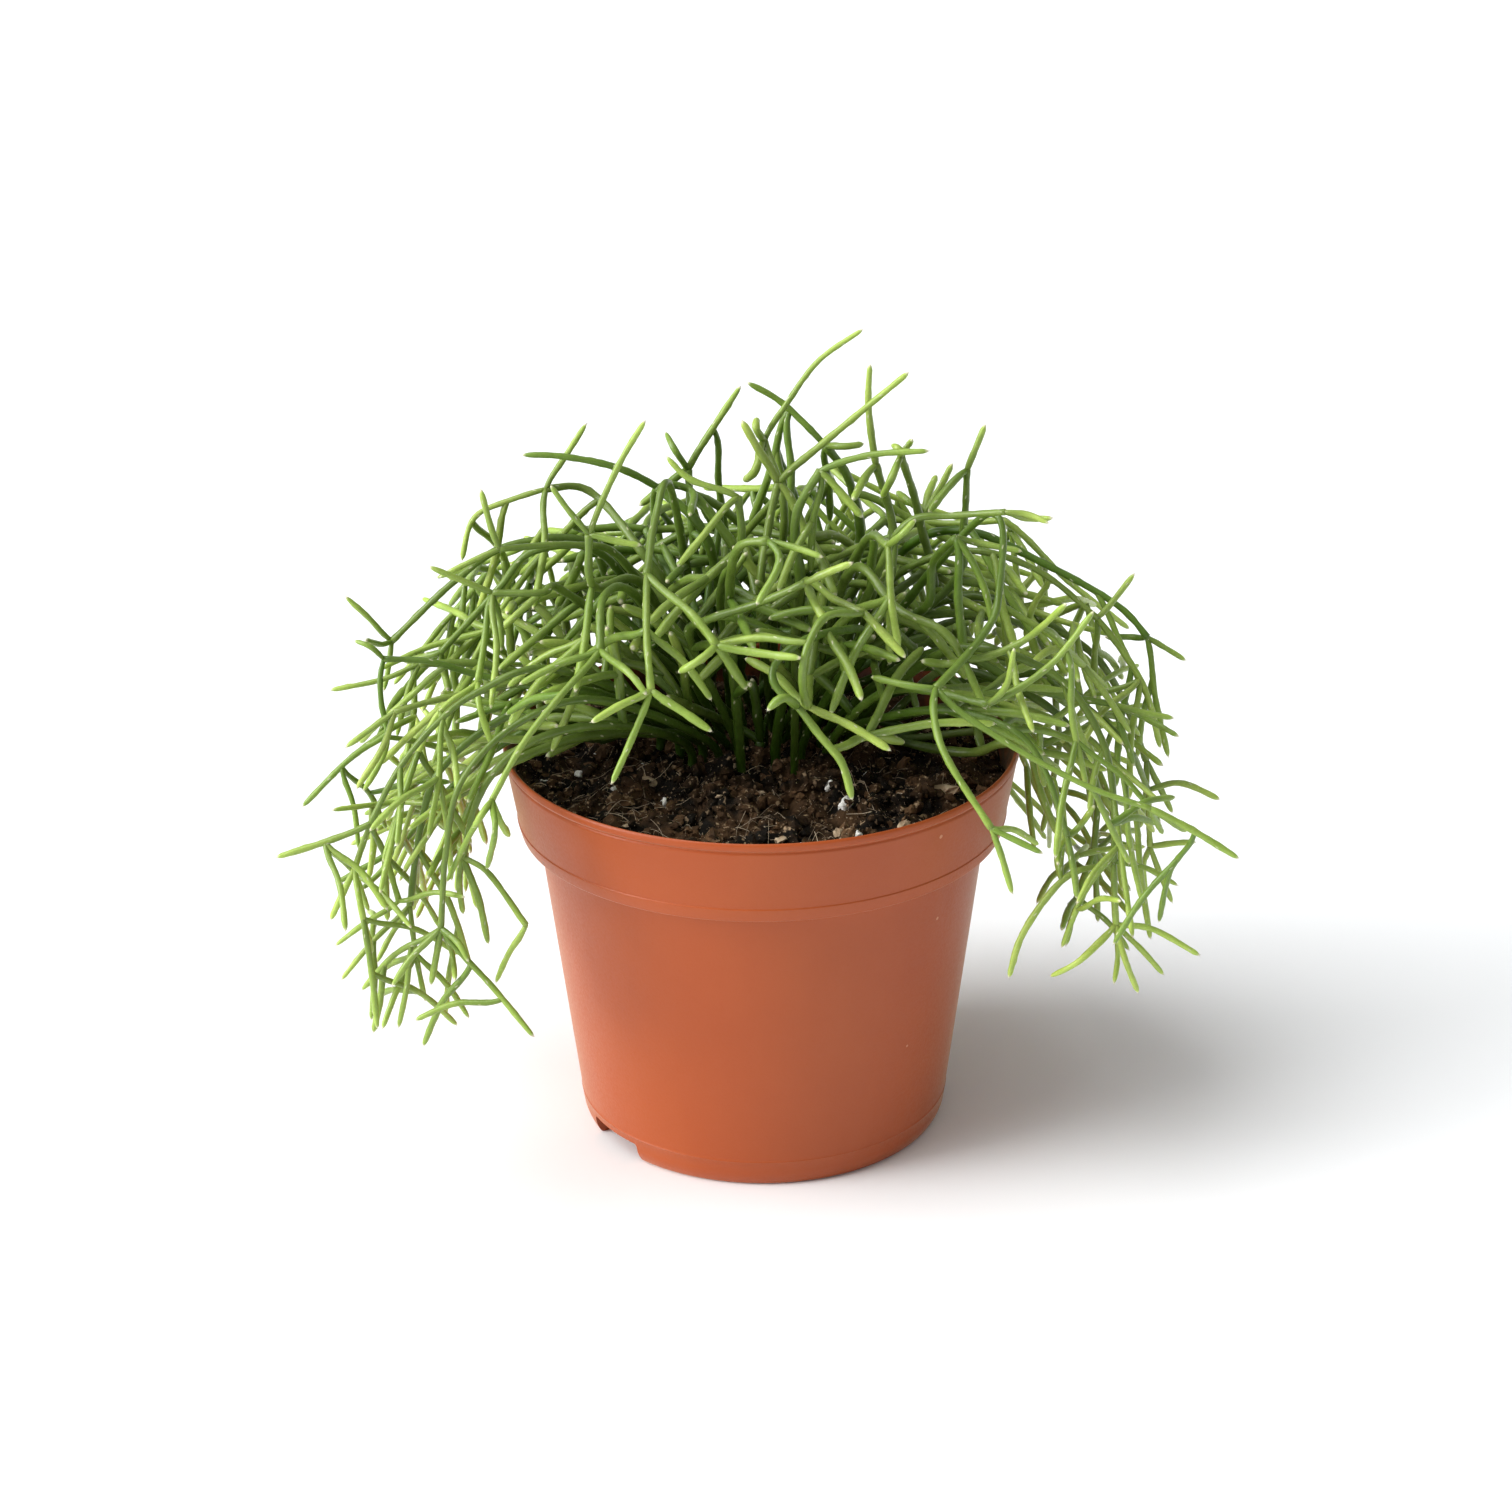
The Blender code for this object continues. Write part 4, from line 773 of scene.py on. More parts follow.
def grown_sprays():
    """Name to limbs for every spray. A limb is its fine curve, its plain line, and whether it ends in a
    tip."""
    plans = {name: planned(stem) for name, stem in SPRAYS.items()}
    for number, bearing in enumerate(BACK_BEARINGS):
        plans[f"back_{number + 1}"] = back_plan(bearing, random.Random(f"rice cactus back {number}"))
    plans = dict(sorted(plans.items(), key=lambda item: item[1]["places"][0][2] + item[1]["places"][-1][1]))
    roots = root_places(len(plans) + SPARE_ROOTS)
    thicket = Thicket()
    grown = {name: [] for name in plans}
    draws = {name: random.Random("rice cactus " + name) for name in plans}
    waiting = [(owner, name, plan, None, None, 0.0) for owner, (name, plan) in enumerate(plans.items())]
    while waiting:
        owner, name, plan, start, heading, shift = waiting.pop(0)
        if start is None:
            placed = place_rooted(thicket, owner, plan, roots, draws[name])
        else:
            placed = place_limb(thicket, owner, plan["places"], start, heading, shift, draws[name])
        if placed is None:
            continue
        fine, line, shift = placed
        grown[name].append((fine, line, not plan["grows"]))
        heading = unit(fine[-1] - fine[-2])
        waiting += [(owner, name, child, fine[-1], heading, shift) for child in plan["grows"]]
    add_side_shoots(thicket, grown, range(SIDE_ROUNDS))
    thicket.room = FINE_ROOM
    thicket.open_level = OPEN_LEVEL
    add_side_shoots(thicket, grown, range(SIDE_ROUNDS, SIDE_ROUNDS + FINE_ROUNDS))
    return {name: limbs for name, limbs in grown.items() if limbs}


def fine_line(fine):
    """The fine curve in even steps, with its small corners worn round."""
    line = evenly(fine, max(4, round(length_of(fine) / RING_SPACING)))
    for _ in range(SMOOTHINGS):
        worn_round(line)
    return line


def worn_round(line):
    """Moves each inner place of the line towards its neighbours."""
    line[1:-1] = (line[:-2] + 2 * line[1:-1] + line[2:]) / 4


def carried_frames(line):
    """At each point of the line its heading and two directions across it, carried along untwisted."""
    spans = [unit(span) for span in np.diff(line, axis=0)]
    headings = [spans[0], *[unit(a + b) for a, b in zip(spans, spans[1:])], spans[-1]]
    side = np.array((0.0, 0.0, 1.0)) if abs(headings[0][2]) < 0.9 else np.array((1.0, 0.0, 0.0))
    frames = []
    for heading in headings:
        side = unit(side - heading * float(side @ heading))
        frames.append((heading, side, np.cross(heading, side)))
    return frames


def circle(sides):
    """The cosine and sine of each of these even steps round a circle."""
    turns = [2 * math.pi * number / sides for number in range(sides)]
    return [(math.cos(turn), math.sin(turn)) for turn in turns]


class Patch:
    """Places, faces and the values at each place of a mesh that is being made."""

    def __init__(self, *values):
        self.places = []
        self.faces = []
        self.values = {name: [] for name in values}

    def add(self, places, faces, **values):
        first = len(self.places)
        self.places += [tuple(place) for place in places]
        self.faces += [tuple(first + corner for corner in face) for face in faces]
        for name, known in self.values.items():
            value = values.get(name, 0.0)
            known += list(value) if isinstance(value, (list, np.ndarray)) else [value] * len(places)

    def made(self, name, look, smooth=True):
        """The mesh object, in metres."""
        mesh = bpy.data.meshes.new(name)
        mesh.from_pydata([Vector(place) * MM for place in self.places], [], self.faces)
        mesh.polygons.foreach_set("use_smooth", [smooth] * len(mesh.polygons))
        for value, known in self.values.items():
            mesh.attributes.new(value, "FLOAT", "POINT").data.foreach_set("value", known)
        mesh.materials.append(look)
        return standing(name, mesh)


def standing(name, data):
    """The mesh, lamp or camera as an object of the scene."""
    made = bpy.data.objects.new(name, data)
    bpy.context.scene.collection.objects.link(made)
    return made


def ring_faces(rings, sides):
    """The faces between rings of places, one ring after the other."""
    faces = []
    for ring in range(rings - 1):
        for number in range(sides):
            after = (number + 1) % sides
            low, high = ring * sides, (ring + 1) * sides
            faces.append((low + number, low + after, high + after, high + number))
    return faces


def closed_faces(rings, sides):
    """The same, closed by fans round two more places: the middle of the first ring and of the last."""
    faces = ring_faces(rings, sides)
    first, last = rings * sides, (rings - 1) * sides
    for number in range(sides):
        after = (number + 1) % sides
        faces.append((first, after, number))
        faces.append((first + 1, last + number, last + after))
    return faces


def three_sided(centre, right, up, radius):
    """Three places round a hair."""
    return [centre + (right * math.cos(turn) + up * math.sin(turn)) * radius for turn in HAIR_TURNS]


def hair(patch, start, towards, length, tone):
    """A fine bristle with three sides."""
    side = unit(np.cross(towards, HAIR_ASIDE))
    places = [*three_sided(start, side, np.cross(towards, side), HAIR_RADIUS), start + towards * length]
    patch.add(places, [(0, 1, 3), (1, 2, 3), (2, 0, 3)], tone=tone, young=1.0, pale=1.0)


def stem_radii(line, run, is_tip, rooted, rng):
    """The stem's radius at each place along it: lumpy, necked at its joint, and swollen or tapered at its
    end."""
    left = run[-1] - run
    girth = rng.uniform(*GIRTH) * (ROOTED_GIRTH if rooted else 1.0)
    radii = np.array([stem_radius(place) for place in line]) * girth
    radii *= 1 + BELLY * np.sin(math.pi * run / run[-1])
    for wave, depth in zip(LUMP_LENGTHS, LUMPS):
        radii *= 1 + depth * np.sin(run * 2 * math.pi / wave + rng.uniform(0, 2 * math.pi))
    if not rooted:
        radii *= 1 - NECK * np.exp(-run / NECK_LENGTH)
    if is_tip:
        taper = np.clip(left / min(rng.uniform(*TAPER_LENGTH), TAPER_MOST * run[-1]), 0, 1)
        radii *= TAPER_SHARE + (1 - TAPER_SHARE) * taper**TAPER_POWER
        radii *= POINT_SHARE + (1 - POINT_SHARE) * np.clip(left / POINT_LENGTH, 0, 1)**POINT_POWER
    else:
        radii *= 1 + KNOB * np.exp(-(left / KNOB_LENGTH)**2)
    return radii


def stem_rings(patch, line, run, radii, tone, rng):
    """The places round a stem, and 1 for each one that is an areole. The areoles get their bristles."""
    places, areoles = [], []
    next_areole, turn = rng.uniform(*FIRST_AREOLE), rng.randrange(STEM_SIDES)
    number, least, most = AREOLE_HAIRS
    for along, centre, radius, (heading, right, up) in zip(run, line, radii, carried_frames(line)):
        budding = along >= next_areole and run[-1] - along > AREOLE_CLEAR
        for side, (cosine, sine) in enumerate(circle(STEM_SIDES)):
            across = right * cosine + up * sine
            is_areole = budding and side == turn
            for _ in range(number if is_areole else 0):
                lean = across + heading * rng.uniform(*AREOLE_LEAN) + right * rng.uniform(*AREOLE_SPLAY)
                hair(patch, centre + across * radius, unit(lean), rng.uniform(least, most), tone)
            places.append(centre + across * (radius + (AREOLE_RISE if is_areole else 0.0)))
            areoles.append(float(is_areole))
        if budding:
            next_areole += rng.uniform(*AREOLE_SPACING)
            turn = (turn + AREOLE_TURN) % STEM_SIDES
    return places, areoles


def add_end_hairs(patch, end, heading, radius, is_tip, tone, rng):
    """The bristles at a tip or round a fork."""
    number, least, most = TIP_HAIRS if is_tip else FORK_HAIRS
    for _ in range(number):
        stray = unit(np.array([rng.gauss(0, 1) for _ in range(3)]))
        towards = unit(heading + stray * (1.0 if is_tip else FORK_SPLAY))
        start = end + (heading * TIP_HAIR_START if is_tip else towards * radius * FORK_HAIR_START)
        hair(patch, start, towards, rng.uniform(least, most), tone)


def add_stem(patch, fine, is_tip, rooted, tone, young, rng):
    """One fine stem with its areoles and bristles."""
    line = fine_line(fine)
    run = run_along(line)
    if is_tip:
        stops = np.unique(np.concatenate([run, run[-1] - np.array(TIP_STOPS)]))
        run, line = stops, places_at(stops, run, line)
    radii = stem_radii(line, run, is_tip, rooted, rng)
    places, areoles = stem_rings(patch, line, run, radii, tone, rng)
    first, last = unit(line[1] - line[0]), unit(line[-1] - line[-2])
    places += [line[0] - first * JOINT_CAP, line[-1] + last * (TIP_CAP if is_tip else radii[-1] * FORK_CAP)]
    start, end = young
    ages_and_shade = np.repeat(start + (end - start) * run / run[-1], STEM_SIDES)
    paleness = np.exp((run - run[-1]) / PALE_LENGTH) if is_tip else np.zeros(len(run))
    patch.add(places, closed_faces(len(line), STEM_SIDES), tone=tone, young=[*ages_and_shade, start, end],
              pale=[*np.repeat(paleness, STEM_SIDES), 0.0, float(is_tip)], areole=[*areoles, 0.0, 0.0])
    add_end_hairs(patch, line[-1], last, radii[-1], is_tip, tone, rng)


def outwards(place):
    """From a small share inside the plant, where the stems are old and painted shade darkens them, to 1 at
    its outside.
    """
    share = share_of(distance((0.0, 0.0, PEAT_EDGE_HEIGHT), place), *SHADED_INSIDE_REACH)
    return SHADED_INSIDE_SHARE + (1 - SHADED_INSIDE_SHARE) * share


def make_stems(name, limbs, look):
    """All fine stems of one spray."""
    patch = Patch("tone", "young", "pale", "areole")
    rng = random.Random(f"rice cactus stems {name}")
    spray_tone = rng.random()
    ends = {}
    for number, (fine, _, is_tip) in enumerate(limbs):
        rooted = number == 0
        before = ends.get(tuple(np.round(fine[0], 3)), 0.0 if rooted else SHOOT_START)
        after = min(1.0, before + (TIP_GAIN if is_tip else FORK_GAIN))
        ends[tuple(np.round(fine[-1], 3))] = after
        tone = SPRAY_TONE * spray_tone + (1 - SPRAY_TONE) * rng.random() + rng.gauss(0, TONE_STRAY)
        # Painted shade: a stem's age share is scaled down inside the plant, which makes it darker there.
        ages_and_shade = (before * outwards(fine[0]), after * outwards(fine[-1]))
        add_stem(patch, fine, is_tip, rooted, min(1.0, max(0.0, tone)), ages_and_shade, rng)
    return patch.made(name + "_stems", look)


def rounded(profile):
    """The profile with each corner worn round by its radius, and its long runs cut in steps."""
    places = [np.array(place[:2], float) for place in profile]
    made = [places[0]]
    for before, corner, after, (_, _, radius) in zip(places, places[1:], places[2:], profile[1:]):
        into, out = corner - before, after - corner
        reach = min(radius, distance(before, corner) * CORNER_SHARE, distance(corner, after) * CORNER_SHARE)
        start, end = corner - unit(into) * reach, corner + unit(out) * reach
        made += [(1 - t)**2 * start + 2 * t * (1 - t) * corner + t**2 * end
                 for t in np.linspace(0, 1, CORNER_STEPS if reach > LEAST_CORNER else 1)]
    made.append(places[-1])
    stepped = [made[0]]
    for place in made[1:]:
        start = stepped[-1]
        steps = math.ceil(distance(start, place) / WALL_STEP)
        stepped += [start + (place - start) * step / steps for step in range(1, steps + 1)]
    return [(float(radius), float(height)) for radius, height in stepped]


def turned(name, profile, sides, look):
    """A solid turned about the upright axis, its profile from the axis out and back to it."""
    places = [(0.0, 0.0, profile[0][1])]
    for radius, level in profile[1:-1]:
        places += [(radius * cosine, radius * sine, level) for cosine, sine in circle(sides)]
    places.append((0.0, 0.0, profile[-1][1]))
    last = len(places) - 1
    faces = [tuple(1 + corner for corner in face) for face in ring_faces(len(profile) - 2, sides)]
    for number in range(sides):
        after = (number + 1) % sides
        faces.append((0, 1 + after, 1 + number))
        faces.append((last, last - sides + number, last - sides + after))
    patch = Patch()
    patch.add(places, faces)
    return patch.made(name, look)


def pot_profile():
    """The outside from the middle of the underside up to the rim, then the inside down to the floor, each
    place with how much its corner is rounded."""
    floor = BASE_RECESS + BASE_PLATE
    slope = (BODY_TOP_RADIUS - BODY_BOTTOM_RADIUS) / (COLLAR_FOOT_HEIGHT - CORNER_HEIGHT)
    lower = FOOT_RADIUS + FOOT_ROUNDING[0]
    rise = (BODY_BOTTOM_RADIUS - lower) / (CORNER_HEIGHT - FOOT_ROUNDING[1])
    at_line = lower + rise * (MOULD_LINE_HEIGHT - FOOT_ROUNDING[1])
    return [
        (0.0, 0.0, 0.0),
        (CENTRE_PAD_RADIUS, 0.0, 0.6),
        (CENTRE_PAD_RADIUS + RECESS_SLOPES[0], BASE_RECESS, 0.6),
        (FOOT_RADIUS - FOOT_WIDTH - RECESS_SLOPES[1], BASE_RECESS, 0.5),
        (FOOT_RADIUS - FOOT_WIDTH, 0.0, 0.5),
        (FOOT_RADIUS, 0.0, 0.9),
        (lower, FOOT_ROUNDING[1], 1.6),
        (at_line, MOULD_LINE_HEIGHT - MOULD_LINE, 0.02),
        (at_line + MOULD_LINE, MOULD_LINE_HEIGHT, 0.06),
        (at_line + MOULD_LINE / 3, MOULD_LINE_HEIGHT + MOULD_LINE, 0.02),
        (BODY_BOTTOM_RADIUS, CORNER_HEIGHT, 1.2),
        (BODY_TOP_RADIUS - slope, COLLAR_FOOT_HEIGHT, 0.4),
        (COLLAR_LIP_RADIUS - LIP_TAPER, COLLAR_FOOT_HEIGHT, 0.6),
        (COLLAR_LIP_RADIUS - CREASE_DEPTH, COLLAR_CREASE_HEIGHT - CREASE_WIDTH, 0.2),
        (COLLAR_CREASE_RADIUS - CREASE_DEPTH, COLLAR_CREASE_HEIGHT - CREASE_WIDTH / 2, 0.1),
        (COLLAR_CREASE_RADIUS + CREASE_DEPTH / 3, COLLAR_CREASE_HEIGHT, 0.2),
        (COLLAR_TOP_RADIUS, POT_HEIGHT - BEAD_HEIGHT - BEAD_SHOULDER, 0.6),
        (COLLAR_TOP_RADIUS - BEAD_GROOVE + BEAD_SOFTNESS, POT_HEIGHT - BEAD_HEIGHT, 0.3),
        (RIM_RADIUS, POT_HEIGHT - BEAD_HEIGHT + BEAD_SHOULDER, 0.8),
        (RIM_RADIUS - BEAD_SOFTNESS / 2, POT_HEIGHT - RIM_ROUNDING, 0.7),
        (RIM_RADIUS - RIM_ROUNDING, POT_HEIGHT, 0.4),
        (RIM_INNER_RADIUS, POT_HEIGHT - RIM_ROUNDING, 0.4),
        (COLLAR_CREASE_RADIUS - WALL, COLLAR_CREASE_HEIGHT, 0.8),
        (BODY_TOP_RADIUS - WALL, COLLAR_FOOT_HEIGHT - WALL, 0.8),
        (BODY_BOTTOM_RADIUS - WALL, CORNER_HEIGHT + WALL, 1.5),
        (FOOT_RADIUS - WALL, floor, 0.8),
        (0.0, floor, 0.0),
    ]


def cut_away(base, cutters):
    """Cuts all the cutters out of the base, and removes them."""
    group = bpy.data.collections.new("cutters")
    bpy.context.scene.collection.children.link(group)
    for cutter in cutters:
        bpy.context.scene.collection.objects.unlink(cutter)
        group.objects.link(cutter)
    step = base.modifiers.new("cut", "BOOLEAN")
    step.operation = "DIFFERENCE"
    step.operand_type = "COLLECTION"
    step.collection = group
    step.solver = "MANIFOLD"
    evaluated = base.evaluated_get(bpy.context.evaluated_depsgraph_get())
    result = bpy.data.meshes.new_from_object(evaluated)
    base.modifiers.remove(step)
    base.data = result
    for cutter in cutters:
        bpy.data.objects.remove(cutter)
    bpy.data.collections.remove(group)


def notch_cutter(angle, look):
    """A flat block with rounded edges at a notch of the foot ring."""
    depth = BODY_BOTTOM_RADIUS + CUT_PAST - (FOOT_RADIUS - NOTCH_DEPTH)
    block = bmesh.new()
    bmesh.ops.create_cube(block, size=1.0)
    for vertex in block.verts:
        x, y, z = vertex.co
        level = NOTCH_HEIGHT if z > 0 else -CUT_PAST
        vertex.co = Vector((x * depth + FOOT_RADIUS - NOTCH_DEPTH + depth / 2, y * NOTCH_WIDTH, level)) * MM
    rims = [edge for edge in block.edges if all(vertex.co.z > 0 for vertex in edge.verts)]
    bmesh.ops.bevel(block, geom=rims, offset=NOTCH_CORNER * MM, segments=NOTCH_CORNER_STEPS, profile=0.5,
                    affect="EDGES")
    block.transform(Matrix.Rotation(math.radians(angle) - math.pi / 2, 4, "Z"))
    mesh = bpy.data.meshes.new("notch")
    block.to_mesh(mesh)
    block.free()
    mesh.materials.append(look)
    return standing("notch", mesh)


def drain_cutter(number, look):
    """A round bar through the base plate at one of its drain holes."""
    low, high = BASE_RECESS - CUT_PAST, BASE_RECESS + BASE_PLATE + CUT_PAST
    bar = turned("hole", [(0, low), (DRAIN_RADIUS, low), (DRAIN_RADIUS, high), (0, high)], DRAIN_SIDES, look)
    angle = 2 * math.pi * (number + 0.5) / DRAIN_HOLES
    centre = Vector((math.cos(angle), math.sin(angle), 0)) * DRAIN_RING_RADIUS * MM
    bar.data.transform(Matrix.Translation(centre))
    return bar


def add_dust_and_shade(pot):
    """Marks the inner wall, where peat clings to it and painted shade darkens it, fully from a little below
    the rim.
    """
    heights = (0, CORNER_HEIGHT, COLLAR_FOOT_HEIGHT, COLLAR_CREASE_HEIGHT, POT_HEIGHT)
    radii = (FOOT_RADIUS, BODY_BOTTOM_RADIUS, BODY_TOP_RADIUS, COLLAR_CREASE_RADIUS, RIM_RADIUS)
    dust_and_shade = []
    for vertex in pot.data.vertices:
        x, y, level = vertex.co / MM
        inside = level > CORNER_HEIGHT and math.hypot(x, y) < np.interp(level, heights, radii) - WALL / 2
        # Painted shade and peat that clings: the inner wall darkens fully from a little below the rim
        dust_and_shade.append(share_of(POT_HEIGHT - level, 0, DUST_AND_SHADE_DEPTH) if inside else 0.0)
    pot.data.attributes.new("dust_and_shade", "FLOAT", "POINT").data.foreach_set("value", dust_and_shade)


def make_pot(look):
    """The moulded pot with rounded edges, its two notches and its drain holes."""
    pot = turned("nursery_pot", rounded(pot_profile()), POT_SIDES, look)
    notches = [notch_cutter(angle, look) for angle in NOTCH_ANGLES]
    cut_away(pot, notches + [drain_cutter(number, look) for number in range(DRAIN_HOLES)])
    add_dust_and_shade(pot)
    pot.data.set_sharp_from_angle(angle=SHARP_EDGE)
    return pot


def fine_peat_height(x, y):
    """Height of the crumbled surface, which lies about the solid's even one."""
    height = float(peat_height(x, y))
    for scale, depth in CLUMPS:
        rise = noise.turbulence(Vector((x * scale, y * scale, CLUMP_LAYER)), 2, False)
        height += depth * rise * CLUMP_RISE - depth * CLUMP_LEVEL
    return height


def on_peat(x, y):
    return np.array((x, y, fine_peat_height(x, y)))


def peat_edge():
    """The peat's outer radius at its surface, just inside the wall."""
    crease = COLLAR_CREASE_RADIUS - WALL
    flare = (RIM_INNER_RADIUS - crease) / (POT_HEIGHT - RIM_ROUNDING - COLLAR_CREASE_HEIGHT)
    return crease + flare * (PEAT_EDGE_HEIGHT - COLLAR_CREASE_HEIGHT) - GAP


def make_peat(look):
    """The body of peat: smooth where the pot holds it, crumbled on top."""
    floor = BASE_RECESS + BASE_PLATE + GAP
    below = [
        (FOOT_RADIUS - WALL - 2 * GAP, floor),
        (BODY_BOTTOM_RADIUS - WALL - GAP, CORNER_HEIGHT + WALL),
        (BODY_TOP_RADIUS - WALL - GAP, COLLAR_FOOT_HEIGHT - WALL + GAP),
        (COLLAR_CREASE_RADIUS - WALL - GAP, COLLAR_CREASE_HEIGHT + GAP),
    ]
    round_peat = circle(PEAT_SIDES)
    places = []
    for radius, height in below:
        places += [(radius * cosine, radius * sine, height) for cosine, sine in round_peat]
    for ring in range(PEAT_RINGS, 0, -1):
        radius = peat_edge() * ring / PEAT_RINGS
        places += [on_peat(radius * cosine, radius * sine) for cosine, sine in round_peat]
    places += [(0, 0, floor), on_peat(0, 0)]
    patch = Patch("tone")
    patch.add(places, closed_faces(len(below) + PEAT_RINGS, PEAT_SIDES), tone=0.35)
    return patch.made("peat_body", look)


def ball(subdivisions):
    """The places and faces of a small ball of radius 1."""
    shape = bmesh.new()
    bmesh.ops.create_icosphere(shape, subdivisions=subdivisions, radius=1.0)
    shape.verts.ensure_lookup_table()
    places = np.array([tuple(vertex.co) for vertex in shape.verts])
    faces = [tuple(vertex.index for vertex in face.verts) for face in shape.faces]
    shape.free()
    return places, faces


def lump(patch, shape, centre, size, flatness, roughness, rng, **values):
    """An irregular crumb: a ball pushed about, squashed and turned at random."""
    places, faces = shape
    seed = Vector([rng.uniform(-50, 50) for _ in range(3)])
    pushed = np.array([place * (1 + roughness * noise.noise(Vector(place) * GRAIN_WAVE + seed))
                       for place in places])
    pushed = pushed * (rng.uniform(*GRAIN_LENGTH), rng.uniform(*GRAIN_WIDTH), flatness)
    tilt = FLAT_TILT if flatness < FLAT_GRAIN else math.pi
    turn = Matrix.Rotation(rng.uniform(0, 2 * math.pi), 3, "Z") @ Matrix.Rotation(
        rng.uniform(-tilt, tilt), 3, (rng.uniform(-1, 1), rng.uniform(-1, 1), 0.01))
    patch.add((np.array(turn) @ pushed.T).T * size + centre, faces, **values)


def random_spot(reach, rng):
    """A random distance from the pot's axis, up to reach, and the place on the peat there at a random
    bearing."""
    radius = reach * math.sqrt(rng.random())
    x, y, _ = round_axis(radius, rng.uniform(0, 2 * math.pi), 0.0)
    return radius, on_peat(x, y)


def spot_on_peat(rng, share):
    """A random place on the peat, out to this share of its radius."""
    return random_spot(peat_edge() * share, rng)[1]


def peat_seen_at(across, down):
    """Where the sight line through this pixel meets the peat."""
    for depth in np.arange(-RIM_RADIUS, RIM_RADIUS, SIGHT_STEP):
        x, y, level = sighted(across, down, depth)
        if level < peat_height(x, y) + SIGHT_CLEARANCE:
            return on_peat(x, y)
    return on_peat(0.0, 0.0)


def make_crumbs(look):
    """Crumbs all over the peat, and clods where the stems root."""
    patch = Patch("tone")
    rng = random.Random("peat crumbs")
    small, large = ball(1), ball(2)
    for _ in range(CLODS):
        radius, spot = random_spot(CLOD_REACH, rng)
        size = rng.uniform(*CLOD_SIZE) * (1 - CLOD_SHRINKING * radius / CLOD_REACH)
        lump(patch, large, spot + (0, 0, CLOD_LIFT * size), size, rng.uniform(*CLOD_FLATNESS),
             CLOD_ROUGHNESS, rng, tone=0.5 * rng.random())
    for across, down, size in SEEN_CLODS:
        lump(patch, large, peat_seen_at(across, down) + (0, 0, SEEN_CLOD_LIFT * size), size,
             SEEN_CLOD_FLATNESS, CLOD_ROUGHNESS, rng, tone=SEEN_CLOD_TONE)
    for _ in range(CRUMBS):
        size = rng.uniform(*CRUMB_SIZE) * rng.choice(CRUMB_KINDS)
        spot = spot_on_peat(rng, CRUMB_SPREAD) + (0, 0, CRUMB_LIFT * size)
        lump(patch, large if size > 1 else small, spot, size, rng.uniform(*CRUMB_FLATNESS), CRUMB_ROUGHNESS,
             rng, tone=rng.random())
    return patch.made("peat_crumbs", look, smooth=False)


def fibre_line(rng):
    """A curled line over the crumbs, which ends before the wall."""
    x, y, _ = spot_on_peat(rng, FIBRE_SPREAD)
    length = rng.uniform(*FIBRE_LENGTH) * rng.choice(FIBRE_KINDS)
    heading, curl = rng.uniform(0, 2 * math.pi), rng.uniform(-FIBRE_CURL, FIBRE_CURL)
    steps = max(LEAST_FIBRE, int(length / FIBRE_STEP))
    lift, tilt = rng.uniform(*FIBRE_LIFT), rng.choice(FIBRE_TILTS)
    line = []
    for step in range(steps + 1):
        if math.hypot(x, y) > peat_edge() - FIBRE_WALL_GAP:
            break
        arch = lift * math.sin(math.pi * step / steps) * FIBRE_ARCH
        rise = tilt * length * step / steps
        line.append((x, y, fine_peat_height(x, y) + FIBRE_CLEARANCE + arch + rise))
        x, y = x + math.cos(heading) * length / steps, y + math.sin(heading) * length / steps
        heading += curl + rng.gauss(0, FIBRE_CURL)
    return np.array(line)


def make_fibres(look):
    """Thin root hairs and strands of moss that lie over the crumbs."""
    patch = Patch("tone")
    rng = random.Random("peat fibres")
    for _ in range(FIBRES):
        line = fibre_line(rng)
        if len(line) < LEAST_FIBRE:
            continue
        worn_round(line)
        radius, tone = rng.uniform(*FIBRE_RADIUS), rng.random()
        places = []
        for number, (centre, (_, right, up)) in enumerate(zip(line, carried_frames(line))):
            places += three_sided(centre, right, up, radius * (1 - FIBRE_THINNING * number / len(line)))
        patch.add(places, ring_faces(len(line), 3), tone=tone)
    return patch.made("peat_fibres", look)


def make_chips(look):
    """Flakes of bark, those that the reference view shows and some more."""
    patch = Patch("tone")
    rng = random.Random("bark chips")
    shape = ball(2)
    for across, down, size in SEEN_CHIPS:
        lump(patch, shape, peat_seen_at(across, down) + SEEN_CHIP_LIFT, size, SEEN_CHIP_FLATNESS,
             CHIP_ROUGHNESS, rng, tone=rng.uniform(*SEEN_CHIP_TONES))
    for _ in range(CHIPS):
        size = rng.uniform(*CHIP_SIZE)
        lump(patch, shape, spot_on_peat(rng, GRAIN_SPREAD) + GRAIN_LIFT, size, rng.uniform(*CHIP_FLATNESS),
             CHIP_ROUGHNESS, rng, tone=rng.random())
    return patch.made("bark_chips", look, smooth=False)


def make_perlite(look):
    """White grains, those that the reference view shows and some more."""
    patch = Patch("tone")
    rng = random.Random("perlite")
    kind = (PERLITE_FLATNESS, PERLITE_ROUGHNESS, rng)
    shape = ball(3)
    for across, down, size in SEEN_PERLITE:
        lump(patch, shape, peat_seen_at(across, down) + SEEN_PERLITE_LIFT, size, *kind, tone=rng.random())
    for _ in range(PERLITE):
        spot = spot_on_peat(rng, GRAIN_SPREAD)
        if spot[1] > PERLITE_FRONT:
            lump(patch, shape, spot + GRAIN_LIFT, rng.uniform(*PERLITE_SIZE), *kind, tone=rng.random())
    return patch.made("perlite_grains", look)


